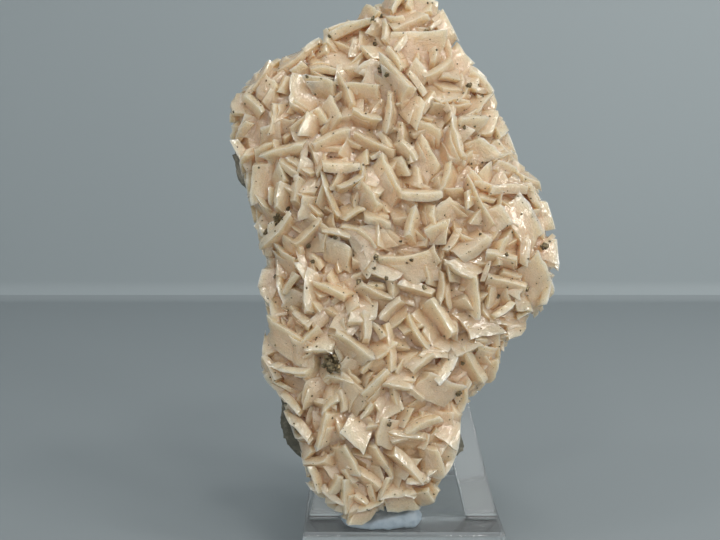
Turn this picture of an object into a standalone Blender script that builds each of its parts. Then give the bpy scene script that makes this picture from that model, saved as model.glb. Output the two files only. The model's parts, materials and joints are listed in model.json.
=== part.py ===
"""Dolomite specimen: a druse of saddle-shaped dolomite crystals on dark rock, with iron
sulphide grains, held upright by a pad of putty and a clear stand.

Metres, +Z up. The crystal face looks along -Y and the origin is the middle of the stand's
underside. The specimen is worked out flat and in mm first: across (to the right), up (along
the slab) and out (from the plane where crystals meet rock). Then it leans back on the stand.
"""
import math
import random

import bmesh
import bpy
from mathutils import Matrix, Vector

MM = 0.001
GAP = 0.3                      # clearance between pieces that touch, in mm

# Driving dimensions, in mm
SLAB_MIDDLE = Vector((0.0, 70.0))   # centre of the rings, across and up
RIM_INSET = 3.6                # crystal tips reach this far past the base of the crust
RIM_DEPTH = 4.5                # depth of the crust at its rim
DOME_DEPTH = 9.5               # how much deeper it is in the middle
SPOKES = 26
RING_SHARES = (0.42, 0.76, 0.93, 1.0)
LEAN_BACK = math.radians(10.0)
SPECIMEN_FOOT = Vector((-2.5, -20.0, 8.4))   # world place, in mm, of across, up and out all zero
DOME_CURVE = (2.4, 0.6)         # powers that round the dome off towards its rim
SWELL_PLACE = Vector((24.0, 78.0))   # middle of the fuller part of the dome, at the right
SWELL_HEIGHT = 2.6
SWELL_SPREAD = 300.0           # square of its reach
WAVE_HEIGHT = 0.9              # long waves in the base
WAVE_PITCH = (0.21, 0.17)
WAVE_SHIFT = 1.3
SEAT_LIMIT = 0.985             # how near the rim of the base a crystal may stand
SEAT_STEP = 0.8                # distance over which the slope of the base is taken
SEAT_STEEPEST = 1.1
PLATE_THICKNESS = (1.9, 2.7)
PLATE_DEPTH = (6.2, 8.0)
PLATE_SKEW = 0.38              # slant of a crystal's ends along its depth
END_SLANT = 0.3                # slant of its ends along its thickness
TOP_SLANT = 0.18               # slant of its top
DEPTH_GROWTH = (0.62, 26.0)    # share at no length, and the length that adds one more
THICKNESS_GROWTH = (0.6, 20.0)
THICKNESS_MOST = 1.15
TOP_HEIGHT = (3.6, 5.4)        # crystal tops above the base of the crust
BED_DEPTH = 0.9                # least depth of a crystal's foot in the base
FILL_AREA = ((-43.0, 43.0), (2.0, 137.0))
FILL_RIM = 1.5                 # from the outline to the nearest crystal between the named ones
FILL_SPACING = 5.2
FILL_LENGTH = (5.5, 8.5)
FILL_LEAN = (22.0, 64.0)
FILL_TRIES = 5000
CRYSTAL_SEED = 11
LUMP_ROOM = 0.75               # free radius round a sulphide lump, as a share of its diameter
LUMP_RAISE = 0.25              # lift of its middle, as a share of its diameter
ROCK_DEPTH = 21.0
ROCK_INSET = 3.4
ROCK_SPOKES = 48
ROCK_CHIPS = 13
CHIP_SLOPE = (16.0, 46.0)       # degrees that a chipped face turns from the side to the back
CHIP_START = (0.3, 0.62)       # share of the depth where the chipping starts
BACK_FACES = ((7.0, 0.6), (9.0, 2.9), (6.0, 4.4))   # tilt in degrees, way in radians
BACK_FACE_LIFT = 0.8
STAND_WIDTH = 51.5
STAND_DEPTH = 50.0
STAND_HEIGHT = 8.0
STAND_BEVEL = 0.8
UPRIGHT_WIDTH = 8.0
UPRIGHT_THICKNESS = 3.5
UPRIGHT_LENGTH = 60.0
UPRIGHT_FOOT = 8.0             # from the stand's front edge back to the uprights' faces
UPRIGHT_MARGIN = 1.0           # from the stand's side to the foot of an upright
UPRIGHT_BEVEL = 0.4
UPRIGHT_LEAN = math.radians(20.0)
UPRIGHT_SPLAY = math.radians(13.0)
PUTTY_SPAN = (-16.5, 5.0)      # world X, in mm
PUTTY_DEPTH = 9.0
PUTTY_HEIGHT = 6.5
HULL_SPARE = 7.0               # how far above the putty the specimen is taken in its imprint
PUTTY_PLACE = -19.5            # world Y of its middle
UPRIGHT_SPARE = 4.0            # length cut off level at the foot
BACK_SPARE = 1.5               # what the parting plane cuts off the back of the crust
BLOCK_SPAN = 400.0             # of the block that cuts the back of the crust
BLOCK_DEPTH = 40.0
SULPHIDE_BLOCKS = 4
SULPHIDE_SEED = 50
SULPHIDE_SPREAD = 0.27         # of the blocks round the middle, as a share of the diameter
SULPHIDE_EDGE = (0.38, 0.56)   # of a block, as a share of the diameter
POCKET_ROOM = 0.45             # round a lump in the crust
IMPRINT_ROOM = 0.39            # round the specimen in the putty
ROCK_SEED = 4
ROCK_WOBBLE = 0.5
CHIP_WOBBLE = 0.25
PUTTY_ROUNDING = 0.7           # less than 1 makes the pad boxier than an egg
PUTTY_DENT = 0.07
PUTTY_DENT_PITCH = (5.0, 4.0)
PUTTY_SINK = 0.4               # height of its middle, as a share of its height

# Outline of the druse, clockwise from the top: across, up
OUTLINE = [
    (2, 137), (11.5, 133.5), (15, 126), (18, 120), (24, 114.5), (26.5, 107), (29, 100),
    (32, 93), (36.5, 88), (38.5, 82), (41, 74), (41.5, 66), (39.5, 57), (34, 51),
    (28.5, 45), (26, 38.5), (21, 33), (16.5, 29), (16, 21), (13, 13), (10, 7), (6, 4.5),
    (-2, 4), (-6, 2.5), (-9, 0), (-13.5, 3), (-19, 7), (-22.5, 12), (-23.5, 20),
    (-27, 28), (-29.5, 34), (-34, 39), (-33, 47), (-32, 54), (-34.5, 61), (-33, 67),
    (-35.5, 76), (-38, 86), (-39, 92), (-42, 99), (-42, 107), (-39.5, 112), (-35, 118.5),
    (-28, 121), (-24, 124), (-17, 126.5), (-10, 130.5), (-6, 134),
]

# Where the dark rock shows past the druse: across, up, reach of the spot, extra radius
ROCK_SHOWS = [(-41.0, 94.0, 9.0, 6.8), (-28.0, 23.0, 15.0, 7.6), (15.0, 14.0, 9.0, 7.4)]

# Crystals that stand out: across, up, turn of the long edge and lean (degrees), length.
# A crystal with no lean stands on edge; with a large lean it shows its broad face.
CRYSTALS = [
    (-11, 127, 12, -60, 12), (-6, 131, -50, 45, 7), (2, 128, 25, -55, 10),
    (12, 127, -60, 50, 9), (8, 132, -20, 40, 7), (-25, 118, 20, -65, 9),
    (-35, 115, 40, -60, 10), (-31, 110, -40, 68, 7), (-35, 106, -40, 30, 8),
    (-39, 108, -50, -40, 8), (-23, 108, 85, 62, 10), (-28.5, 103, 80, 35, 9),
    (-18, 110, -15, 30, 7), (-12.5, 117, -20, -60, 11), (-8.5, 121, 80, 40, 6),
    (5, 121, 5, 55, 15), (0.5, 111, -55, 28, 11), (5, 112, -60, -20, 8),
    (11, 114, 30, 35, 10), (12, 109, 20, -55, 10), (12, 104.5, 5, 25, 10),
    (4.5, 104.5, 70, -50, 8), (-1, 104.5, 85, 12, 9.5), (-7, 109, -10, 40, 8),
    (-12, 107.5, -68, 20, 9.5), (-15.5, 103, -65, 50, 7), (-8, 102, -20, 20, 8),
    (18, 112, 70, -50, 5), (24, 110, -30, 66, 7), (22, 115, -40, -50, 8),
    (16, 120, -65, 50, 8), (19.5, 106, 55, -48, 8), (22, 101.5, 60, -42, 8),
    (25.5, 102, 30, -50, 6), (14, 95, -80, 25, 10.5), (-39, 95, -75, 35, 8.5),
    (-36, 93.5, 38, 15, 8.5), (-26, 94, 10, 18, 11), (-16, 96, 20, 20, 10),
    (-32, 88, 80, 45, 10), (-14, 90.5, -3, -15, 9), (-22, 89.5, -30, 15, 7),
    (-5, 94.5, -25, 32, 12), (-2, 86.5, -62, 45, 12), (-8, 86.5, 75, 28, 6),
    (-6.5, 81.5, -50, 42, 8), (-12, 85.5, 20, 15, 6.5), (-16, 82, -72, 20, 12.5),
    (-27, 82, 75, 20, 7), (-23, 83.5, 80, 18, 7), (-20.5, 81, 75, 48, 6),
    (-32, 81.5, -35, 50, 7.5), (-28, 74, 36, 14, 14), (-34, 73, -80, 30, 7),
    (-21.5, 73, 42, 20, 9.5), (-15, 74, -12, 10, 8), (-5, 73, 12, 74, 11.5),
    (-4.5, 78, -22, -30, 8), (-14, 69, -25, 62, 8.5), (-26, 67, -35, 45, 8),
    (5, 83, -3, -20, 11), (2, 94.5, -45, 25, 6.5), (7.5, 92, -60, 62, 10),
    (4.5, 87.5, 85, -40, 5), (13, 86, 70, 35, 9), (12.5, 79.5, 40, 66, 7),
    (4, 75, 80, 25, 7.5), (7.5, 78.5, -80, 35, 6.5), (10, 74.5, 25, 40, 6),
    (20, 80, -62, 32, 14.5), (27, 84.5, 18, -30, 12), (25.5, 89, -10, 45, 7.5),
    (33, 88, 15, -55, 8), (24, 77.5, -55, 55, 6.5), (30.5, 76, -50, 70, 13),
    (37.5, 79, -65, 40, 8), (25, 95, 20, -60, 8.5), (20, 94.5, -35, 45, 7.5),
    (30, 95, -60, 50, 8), (26, 67.5, -10, 30, 9), (18, 71, 30, -35, 9.5),
    (17, 65.5, -35, -50, 7.5), (4, 66, 5, 72, 13.5), (37, 70, -80, 45, 8),
    (33.5, 65, -50, 50, 8), (-25.5, 62, 40, -20, 7), (-21.5, 63, -60, 20, 6),
    (-19.5, 58.5, 87, 14, 11.5), (-29, 56, -32, 22, 9.5), (-33, 61, -35, -45, 7),
    (-14, 60, -25, -25, 9), (-6.5, 59, -25, 32, 8.5), (-0.5, 55.5, 45, 22, 7),
    (-8, 55, 10, -50, 7), (-2, 46.5, -85, 15, 12), (-12, 52, -20, -58, 7),
    (-11.5, 47, -40, 40, 11.5), (-7.5, 50, -80, 15, 7.5), (-25, 47, -28, 68, 15),
    (-31.5, 45, -35, -55, 7), (-31, 52, -60, 50, 8), (-32, 38.5, -50, 60, 7),
    (-23, 40, -5, 22, 9), (-19.5, 36, 75, 55, 7), (-14, 38, -10, 25, 8),
    (-10, 34.5, -40, 64, 8), (-15, 33.5, 40, -50, 6), (-4.5, 36.5, 50, 30, 10),
    (1, 38, -15, -42, 7), (-6.5, 43, 45, -30, 8), (-26, 35, -35, -36, 6),
    (12, 61.5, 80, 20, 7), (6, 60, -18, 20, 9.5), (18, 60, -78, 25, 11.5),
    (11, 53, -52, 30, 11.5), (4, 50, -58, 20, 9.5), (27, 61, -18, 42, 11.5),
    (20, 52, 5, -58, 10), (30, 52, -15, -50, 8), (35, 60, -45, 50, 8),
    (38, 58.5, 70, 45, 6.5), (18, 41, -52, 30, 12.5), (9, 45.5, -10, -55, 7),
    (11, 41, 40, 20, 9), (9, 36, -20, 64, 11), (22, 44.5, -15, 55, 8),
    (24, 38, -75, 35, 8), (28, 45, -70, -45, 8), (17, 33, 85, 25, 7),
    (14.5, 30, -35, -42, 7), (16.5, 47, 20, -30, 7), (-23, 27, -20, 30, 11),
    (-21.5, 23, 5, 20, 9), (-16, 26.5, 72, 25, 9), (-24.5, 32, -20, 40, 8),
    (-9, 25.5, -40, -58, 8), (-12, 19, -65, 48, 8), (-7.5, 13, -38, 35, 10),
    (0, 11.5, 10, -35, 9), (-11, 9.5, 88, 20, 10.5), (-14.5, 12.5, 65, -20, 6),
    (-18.5, 17, 10, 40, 9), (-19.5, 11.5, -80, 50, 8), (5, 28, 20, -20, 9.5),
    (3, 24, -10, 45, 11), (8.5, 18.5, -75, 45, 8), (1.5, 18, -50, 25, 10.5),
    (13, 24.5, 20, -52, 7), (11, 19.5, 60, 40, 9), (11.5, 13, 58, 35, 9),
    (6.5, 8, -60, 45, 7), (-5, 7.5, 20, 50, 7.5), (-9, 4, 75, 50, 8),
    (-14.5, 6.5, -30, 50, 8),
]

# Deep places between the crystals, with no small crystal of their own: across, up, radius
HOLLOWS = [
    (16, 75, 3.6), (6, 117, 3.6), (-6, 104, 2.8), (-33, 102, 3.2), (-25, 98.5, 3),
    (-9, 98.5, 3.2), (-19, 81.5, 2.6), (-4.5, 82, 2.8), (2, 92, 2.6), (-1, 70, 2.8),
    (-22, 57, 3.2), (-22, 42, 3.2), (22, 98, 3.2), (14, 38, 3.6), (-15, 21.5, 3.2),
    (-3, 20, 3.8), (-22, 29.5, 3.2), (7, 49, 2.8), (-9.5, 64, 3.4), (11, 67, 2.6),
]

# Iron sulphide lumps that nest among the crystals: name, across, up, diameter, lift
SULPHIDES = [
    ("sulphide_main", -15.0, 42.5, 5.4, 2.2),
    ("sulphide_left", -27.5, 78.2, 3.2, 2.2),
    ("sulphide_top", -2.5, 114.2, 3.0, 2.4),
    ("sulphide_low", -2.5, 28.8, 3.4, 2.0),
]


def clear_scene():
    for item in list(bpy.data.objects):
        bpy.data.objects.remove(item, do_unlink=True)


def material(name, colour, roughness, metallic=0.0, transmission=0.0, ior=1.5):
    made = bpy.data.materials.new(name)
    made.use_nodes = True
    shader = made.node_tree.nodes["Principled BSDF"]
    shader.inputs["Base Color"].default_value = (*colour, 1.0)
    shader.inputs["Roughness"].default_value = roughness
    shader.inputs["Metallic"].default_value = metallic
    shader.inputs["Transmission Weight"].default_value = transmission
    shader.inputs["IOR"].default_value = ior
    made.diffuse_color = (*colour, 1.0)
    return made


def add_object(name, bm, surface):
    mesh = bpy.data.meshes.new(name)
    bmesh.ops.recalc_face_normals(bm, faces=bm.faces[:])
    bm.to_mesh(mesh)
    bm.free()
    mesh.materials.append(surface)
    made = bpy.data.objects.new(name, mesh)
    bpy.context.scene.collection.objects.link(made)
    return made


def apply_modifiers(thing):
    """Bake the modifier stack into the object's mesh."""
    graph = bpy.context.evaluated_depsgraph_get()
    baked = bpy.data.meshes.new_from_object(thing.evaluated_get(graph))
    thing.modifiers.clear()
    thing.data = baked


def boolean(thing, cutter, operation, overlapping):
    """Join or cut with another object, which is used up."""
    step = thing.modifiers.new(operation.lower(), "BOOLEAN")
    step.operation = operation
    step.object = cutter
    step.use_self = overlapping
    apply_modifiers(thing)
    bpy.data.objects.remove(cutter, do_unlink=True)


# The druse as a dome over its outline

def outline_radius(angle):
    """Distance from the middle to the outline along a direction."""
    ray = Vector((math.cos(angle), math.sin(angle)))
    best = 0.0
    for index, corner in enumerate(OUTLINE):
        start = Vector(corner) - SLAB_MIDDLE
        edge = Vector(OUTLINE[(index + 1) % len(OUTLINE)]) - SLAB_MIDDLE - start
        turn = ray.cross(edge)
        if abs(turn) < 1e-9:
            continue
        along_ray = start.cross(edge) / turn
        along_edge = start.cross(ray) / turn
        if along_ray > 0.0 and -1e-6 <= along_edge <= 1.0 + 1e-6:
            best = max(best, along_ray)
    return best


def base_radius(angle):
    return outline_radius(angle) - RIM_INSET


def crust_depth(place):
    """How far the base of the crust stands out from the rock at a place."""
    offset = place - SLAB_MIDDLE
    share = offset.length / base_radius(math.atan2(offset.y, offset.x))
    fall = max(0.0, 1.0 - share ** DOME_CURVE[0]) ** DOME_CURVE[1]
    swell = SWELL_HEIGHT * math.exp(-(place - SWELL_PLACE).length_squared / SWELL_SPREAD)
    wave = math.sin(WAVE_PITCH[0] * place.x + WAVE_SHIFT) * math.cos(WAVE_PITCH[1] * place.y)
    waves = WAVE_HEIGHT * wave
    return RIM_DEPTH + fall * (DOME_DEPTH + swell + waves)


def seat(across, up):
    """Point on the base of the crust under a place, and the way it faces there."""
    offset = Vector((across, up)) - SLAB_MIDDLE
    limit = base_radius(math.atan2(offset.y, offset.x))
    share = min(offset.length / limit, SEAT_LIMIT)
    foot = SLAB_MIDDLE + offset.normalized() * share * limit if offset.length else SLAB_MIDDLE
    right, upward = Vector((SEAT_STEP, 0.0)), Vector((0.0, SEAT_STEP))
    slope_x = crust_depth(foot + right) - crust_depth(foot - right)
    slope_y = crust_depth(foot + upward) - crust_depth(foot - upward)
    steep = Vector((slope_x, slope_y)) / (2.0 * SEAT_STEP)
    if steep.length > SEAT_STEEPEST:
        steep *= SEAT_STEEPEST / steep.length
    facing = Vector((-steep.x, -steep.y, 1.0)).normalized()
    return Vector((foot.x, foot.y, crust_depth(foot))), facing


def add_plate(bm, across, up, turn, lean, length, rng):
    """One rhombic plate with flat faces, its foot bedded in the crust."""
    foot, facing = seat(across, up)
    heading = Vector((math.cos(math.radians(turn)), math.sin(math.radians(turn)), 0.0))
    long_way = (heading - facing * heading.dot(facing)).normalized()
    side = facing.cross(long_way)
    tilt = math.radians(lean)
    deep_way = facing * math.cos(tilt) + side * math.sin(tilt)
    thin_way = long_way.cross(deep_way)
    depth = rng.uniform(*PLATE_DEPTH) * min(1.0, DEPTH_GROWTH[0] + length / DEPTH_GROWTH[1])
    growth = min(THICKNESS_MOST, THICKNESS_GROWTH[0] + length / THICKNESS_GROWTH[1])
    thickness = rng.uniform(*PLATE_THICKNESS) * growth
    half_high = 0.5 * (depth * abs(math.cos(tilt)) + thickness * abs(math.sin(tilt)))
    centre_height = min(rng.uniform(*TOP_HEIGHT) - half_high, half_high - BED_DEPTH)
    centre = foot + facing * centre_height
    hand = rng.choice((-1.0, 1.0))
    long_edge = long_way * length
    deep_edge = (deep_way + long_way * hand * PLATE_SKEW) * depth
    thin_edge = (thin_way + long_way * hand * END_SLANT + deep_way * TOP_SLANT) * thickness
    add_block(bm, centre, long_edge, deep_edge, thin_edge)


def add_block(bm, centre, long_edge, deep_edge, thin_edge):
    """A parallelepiped round a centre, from its three edge vectors."""
    corners = []
    for a in (-0.5, 0.5):
        for b in (-0.5, 0.5):
            for c in (-0.5, 0.5):
                corners.append(bm.verts.new(centre + a * long_edge + b * deep_edge + c * thin_edge))
    for quad in ((0, 1, 3, 2), (4, 6, 7, 5), (0, 4, 5, 1), (2, 3, 7, 6), (0, 2, 6, 4), (1, 5, 7, 3)):
        bm.faces.new([corners[i] for i in quad])


def near(place, spots):
    return any((place - Vector((s[0], s[1]))).length < s[2] for s in spots)


def fill_places(rng):
    """Places for the crystals between the named ones, spread evenly."""
    taken = [Vector((row[0], row[1])) for row in CRYSTALS]
    lumps = [(row[1], row[2], row[3] * LUMP_ROOM) for row in SULPHIDES]
    added = []
    for _ in range(FILL_TRIES):
        place = Vector((rng.uniform(*FILL_AREA[0]), rng.uniform(*FILL_AREA[1])))
        offset = place - SLAB_MIDDLE
        reach = outline_radius(math.atan2(offset.y, offset.x)) - FILL_RIM
        if offset.length > reach or near(place, HOLLOWS) or near(place, lumps):
            continue
        if all((place - other).length > FILL_SPACING for other in taken):
            taken.append(place)
            added.append(place)
    return added


def crust_base(bm):
    """The solid base of the crust: a low dome, its back left below the parting plane."""
    top = bm.verts.new((SLAB_MIDDLE.x, SLAB_MIDDLE.y, crust_depth(SLAB_MIDDLE)))
    rings = []
    for share in RING_SHARES:
        ring = []
        for spoke in range(SPOKES):
            angle = math.tau * spoke / SPOKES
            place = SLAB_MIDDLE + share * base_radius(angle) * Vector((math.cos(angle), math.sin(angle)))
            ring.append(bm.verts.new((place.x, place.y, crust_depth(place))))
        rings.append(ring)
    rings.append([bm.verts.new((v.co.x, v.co.y, -BACK_SPARE)) for v in rings[-1]])
    for spoke in range(SPOKES):
        after = (spoke + 1) % SPOKES
        bm.faces.new((top, rings[0][spoke], rings[0][after]))
        for inner, outer in zip(rings, rings[1:]):
            bm.faces.new((inner[spoke], outer[spoke], outer[after], inner[after]))
    bm.faces.new(list(reversed(rings[-1])))


def keep_main_body(thing):
    """Drop the crumbs that a union can leave: only the largest connected body stays."""
    bm = bmesh.new()
    bm.from_mesh(thing.data)
    left = set(bm.verts)
    bodies = []
    while left:
        body = set()
        front = [left.pop()]
        while front:
            vert = front.pop()
            body.add(vert)
            reached = {edge.other_vert(vert) for edge in vert.link_edges} & left
            left -= reached
            front.extend(reached)
        bodies.append(body)
    bodies.sort(key=len)
    crumbs = [vert for body in bodies[:-1] for vert in body]
    bmesh.ops.delete(bm, geom=crumbs, context="VERTS")
    bm.to_mesh(thing.data)
    bm.free()


def build_sulphides(surface):
    """Lumps of a few small blocks each, still in specimen coordinates."""
    lumps = []
    for index, (name, across, up, size, lift) in enumerate(SULPHIDES):
        rng = random.Random(SULPHIDE_SEED + index)
        foot, facing = seat(across, up)
        middle = foot + facing * (lift + LUMP_RAISE * size)
        first, others = bmesh.new(), bmesh.new()
        for block in range(SULPHIDE_BLOCKS):
            spin = Matrix.Rotation(rng.uniform(0, math.tau), 3, any_direction(rng))
            shift = SULPHIDE_SPREAD * size * any_direction(rng)
            edge = size * rng.uniform(*SULPHIDE_EDGE)
            bm = others if block else first
            add_block(bm, middle + shift, spin.col[0] * edge, spin.col[1] * edge, spin.col[2] * edge)
        lump = add_object(name, first, surface)
        boolean(lump, add_object("others", others, surface), "UNION", True)
        keep_main_body(lump)
        lumps.append(lump)
    return lumps


def any_direction(rng):
    high = rng.uniform(-1.0, 1.0)
    angle = rng.uniform(0.0, math.tau)
    flat = math.sqrt(1.0 - high * high)
    return Vector((flat * math.cos(angle), flat * math.sin(angle), high))


def hull_round(bm, points, grow):
    """Add a convex hull round some points, a little larger than they need."""
    middle = sum(points, Vector()) / len(points)
    verts = [bm.verts.new(p + (p - middle).normalized() * grow) for p in points]
    result = bmesh.ops.convex_hull(bm, input=verts)
    spare = {item for item in result["geom_interior"] + result["geom_unused"]}
    bmesh.ops.delete(bm, geom=[item for item in spare if isinstance(item, bmesh.types.BMVert)],
                     context="VERTS")


def build_crust(surface, lumps):
    """The druse: base and crystals in one solid, with a pocket round each sulphide lump."""
    rng = random.Random(CRYSTAL_SEED)
    base, plates = bmesh.new(), bmesh.new()
    crust_base(base)
    for row in CRYSTALS:
        add_plate(plates, *row, rng)
    for place in fill_places(rng):
        turn = rng.uniform(-90.0, 90.0)
        lean = rng.choice((-1.0, 1.0)) * rng.uniform(*FILL_LEAN)
        add_plate(plates, place.x, place.y, turn, lean, rng.uniform(*FILL_LENGTH), rng)
    crust = add_object("dolomite_crust", base, surface)
    boolean(crust, add_object("plates", plates, surface), "UNION", True)

    cutter = bmesh.new()
    for lump in lumps:
        hull_round(cutter, [vert.co.copy() for vert in lump.data.vertices], POCKET_ROOM)
    block = Matrix.Diagonal((BLOCK_SPAN, BLOCK_SPAN, BLOCK_DEPTH))
    block_middle = Vector((*SLAB_MIDDLE, 0.5 * (GAP - BLOCK_DEPTH)))
    add_block(cutter, block_middle, block.col[0], block.col[1], block.col[2])
    boolean(crust, add_object("cutter", cutter, surface), "DIFFERENCE", False)
    keep_main_body(crust)
    return crust


# The rock behind the druse

def rock_radius(angle):
    way = Vector((math.cos(angle), math.sin(angle)))
    radius = outline_radius(angle) - ROCK_INSET
    place = SLAB_MIDDLE + way * radius
    for across, up, reach, extra in ROCK_SHOWS:
        away = (place - Vector((across, up))).length
        radius += extra * max(0.0, 1.0 - (away / reach) ** 2)
    return radius


def build_rock(surface):
    """A slab behind the druse, its edges and back chipped to flat broken faces."""
    rng = random.Random(ROCK_SEED)
    bm = bmesh.new()
    front = []
    for spoke in range(ROCK_SPOKES):
        angle = math.tau * spoke / ROCK_SPOKES
        radius = rock_radius(angle) + rng.uniform(-ROCK_WOBBLE, ROCK_WOBBLE)
        place = SLAB_MIDDLE + radius * Vector((math.cos(angle), math.sin(angle)))
        front.append(bm.verts.new((place.x, place.y, -0.5 * GAP)))
    cap = bm.faces.new(front)
    grown = bmesh.ops.extrude_face_region(bm, geom=[cap])
    moved = [item for item in grown["geom"] if isinstance(item, bmesh.types.BMVert)]
    bmesh.ops.translate(bm, verts=moved, vec=(0.0, 0.0, -ROCK_DEPTH))
    bmesh.ops.recalc_face_normals(bm, faces=bm.faces[:])
    for chip in range(ROCK_CHIPS):
        angle = math.tau * (chip + rng.uniform(-CHIP_WOBBLE, CHIP_WOBBLE)) / ROCK_CHIPS
        back = math.radians(rng.uniform(*CHIP_SLOPE))
        way = Vector((math.cos(angle), math.sin(angle), 0.0))
        normal = way * math.cos(back) - Vector((0.0, 0.0, math.sin(back)))
        start = Vector((*SLAB_MIDDLE, 0.0)) + way * rock_radius(angle)
        start.z = -ROCK_DEPTH * rng.uniform(*CHIP_START)
        cut_flat(bm, start, normal)
    for tilt, turn in BACK_FACES:
        slope = math.tan(math.radians(tilt))
        normal = Vector((slope * math.cos(turn), slope * math.sin(turn), -1.0)).normalized()
        cut_flat(bm, Vector((*SLAB_MIDDLE, BACK_FACE_LIFT - ROCK_DEPTH)), normal)
    return add_object("rock_matrix", bm, surface)


def cut_flat(bm, point, normal):
    """Take away what lies past a plane and close the cut."""
    parts = bm.verts[:] + bm.edges[:] + bm.faces[:]
    bmesh.ops.bisect_plane(bm, geom=parts, dist=1e-5, plane_co=point, plane_no=normal, clear_outer=True)
    open_edges = [edge for edge in bm.edges if edge.is_boundary]
    if open_edges:
        bmesh.ops.holes_fill(bm, edges=open_edges)


# The stand and the putty, straight in the world's metres

def uprights_plane():
    """A point on the front faces of the uprights and the way those faces look."""
    point = Vector((0.0, UPRIGHT_FOOT - 0.5 * STAND_DEPTH, STAND_HEIGHT)) * MM
    return point, Vector((0.0, -math.cos(UPRIGHT_LEAN), math.sin(UPRIGHT_LEAN)))


def build_stand_base(surface):
    bm = bmesh.new()
    bmesh.ops.create_cube(bm, size=1.0)
    bmesh.ops.scale(bm, verts=bm.verts[:], vec=Vector((STAND_WIDTH, STAND_DEPTH, STAND_HEIGHT)) * MM)
    made = add_object("stand_base", bm, surface)
    made.location.z = 0.5 * STAND_HEIGHT * MM
    soften(made, STAND_BEVEL)
    return made


def soften(thing, width):
    edge = thing.modifiers.new("bevel", "BEVEL")
    edge.width = width * MM
    edge.limit_method = "ANGLE"


def build_upright(name, side, surface):
    """One leaning post of the stand, its foot cut level; side is -1 at the left."""
    bm = bmesh.new()
    bmesh.ops.create_cube(bm, size=1.0)
    size = Vector((UPRIGHT_WIDTH, UPRIGHT_THICKNESS, UPRIGHT_LENGTH + UPRIGHT_SPARE)) * MM
    bmesh.ops.scale(bm, verts=bm.verts[:], vec=size)
    raised = Vector((0.0, UPRIGHT_THICKNESS, UPRIGHT_LENGTH - UPRIGHT_SPARE)) * 0.5 * MM
    splay = Matrix.Rotation(-side * UPRIGHT_SPLAY, 4, "Y")
    lean = Matrix.Rotation(-UPRIGHT_LEAN, 4, "X")
    foot, _ = uprights_plane()
    foot.x += side * (0.5 * (STAND_WIDTH - UPRIGHT_WIDTH) - UPRIGHT_MARGIN) * MM
    bm.transform(Matrix.Translation(foot) @ lean @ splay @ Matrix.Translation(raised))
    cut_flat(bm, foot + Vector((0.0, 0.0, GAP * MM)), Vector((0.0, 0.0, -1.0)))
    made = add_object(name, bm, surface)
    soften(made, UPRIGHT_BEVEL)
    return made


def build_putty(surface, held):
    """A pressed pad of putty under the druse, hollowed where the specimen sits in it."""
    bm = bmesh.new()
    bmesh.ops.create_icosphere(bm, subdivisions=2, radius=1.0)
    half_width = 0.5 * (PUTTY_SPAN[1] - PUTTY_SPAN[0])
    for vert in bm.verts:
        squared = Vector([math.copysign(abs(value) ** PUTTY_ROUNDING, value) for value in vert.co])
        along = math.sin(PUTTY_DENT_PITCH[0] * squared.x + 1.0)
        dent = 1.0 + PUTTY_DENT * along * math.cos(PUTTY_DENT_PITCH[1] * squared.y)
        vert.co.x = squared.x * half_width * dent
        vert.co.y = squared.y * 0.5 * PUTTY_DEPTH * dent
        vert.co.z = squared.z * 0.5 * PUTTY_HEIGHT * dent
    middle = Vector((0.5 * sum(PUTTY_SPAN), PUTTY_PLACE, STAND_HEIGHT + PUTTY_SINK * PUTTY_HEIGHT))
    bmesh.ops.translate(bm, verts=bm.verts[:], vec=middle)
    bmesh.ops.scale(bm, verts=bm.verts[:], vec=(MM, MM, MM))
    cut_flat(bm, Vector((0.0, 0.0, (STAND_HEIGHT + GAP) * MM)), Vector((0.0, 0.0, -1.0)))
    made = add_object("putty", bm, surface)

    reach = (STAND_HEIGHT + PUTTY_HEIGHT + HULL_SPARE) * MM
    points = [vert.co.copy() for piece in held for vert in piece.data.vertices if vert.co.z < reach]
    cutter = bmesh.new()
    hull_round(cutter, points, IMPRINT_ROOM * MM)
    boolean(made, add_object("cutter", cutter, surface), "DIFFERENCE", False)
    keep_main_body(made)
    return made


def specimen_placing():
    """From across, up and out in mm to the world in metres."""
    axes = Matrix(((1, 0, 0, 0), (0, 0, -1, 0), (0, 1, 0, 0), (0, 0, 0, 1)))
    lean = Matrix.Rotation(-LEAN_BACK, 4, "X")
    return Matrix.Scale(MM, 4) @ Matrix.Translation(SPECIMEN_FOOT) @ lean @ axes


def main():
    clear_scene()
    dolomite = material("dolomite", (0.62, 0.49, 0.37), 0.4)
    rock = material("rock", (0.12, 0.115, 0.095), 0.85)
    sulphide = material("sulphide", (0.25, 0.2, 0.11), 0.35, metallic=0.9)
    acrylic = material("clear_acrylic", (0.95, 0.97, 0.97), 0.05, transmission=1.0, ior=1.49)
    putty = material("putty", (0.29, 0.36, 0.42), 0.6)

    lumps = build_sulphides(sulphide)
    crust = build_crust(dolomite, lumps)
    matrix = build_rock(rock)
    for piece in (crust, matrix, *lumps):
        piece.data.transform(specimen_placing())

    face_point, face_way = uprights_plane()
    bm = bmesh.new()
    bm.from_mesh(matrix.data)
    cut_flat(bm, face_point + face_way * GAP * MM, -face_way)
    bm.to_mesh(matrix.data)
    bm.free()

    build_stand_base(acrylic)
    build_upright("stand_upright_left", -1.0, acrylic)
    build_upright("stand_upright_right", 1.0, acrylic)
    build_putty(putty, (crust, matrix))


main()
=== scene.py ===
import json
import math
import random

import bmesh
import bpy
import numpy as np
from mathutils import Matrix, Vector, noise

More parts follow.
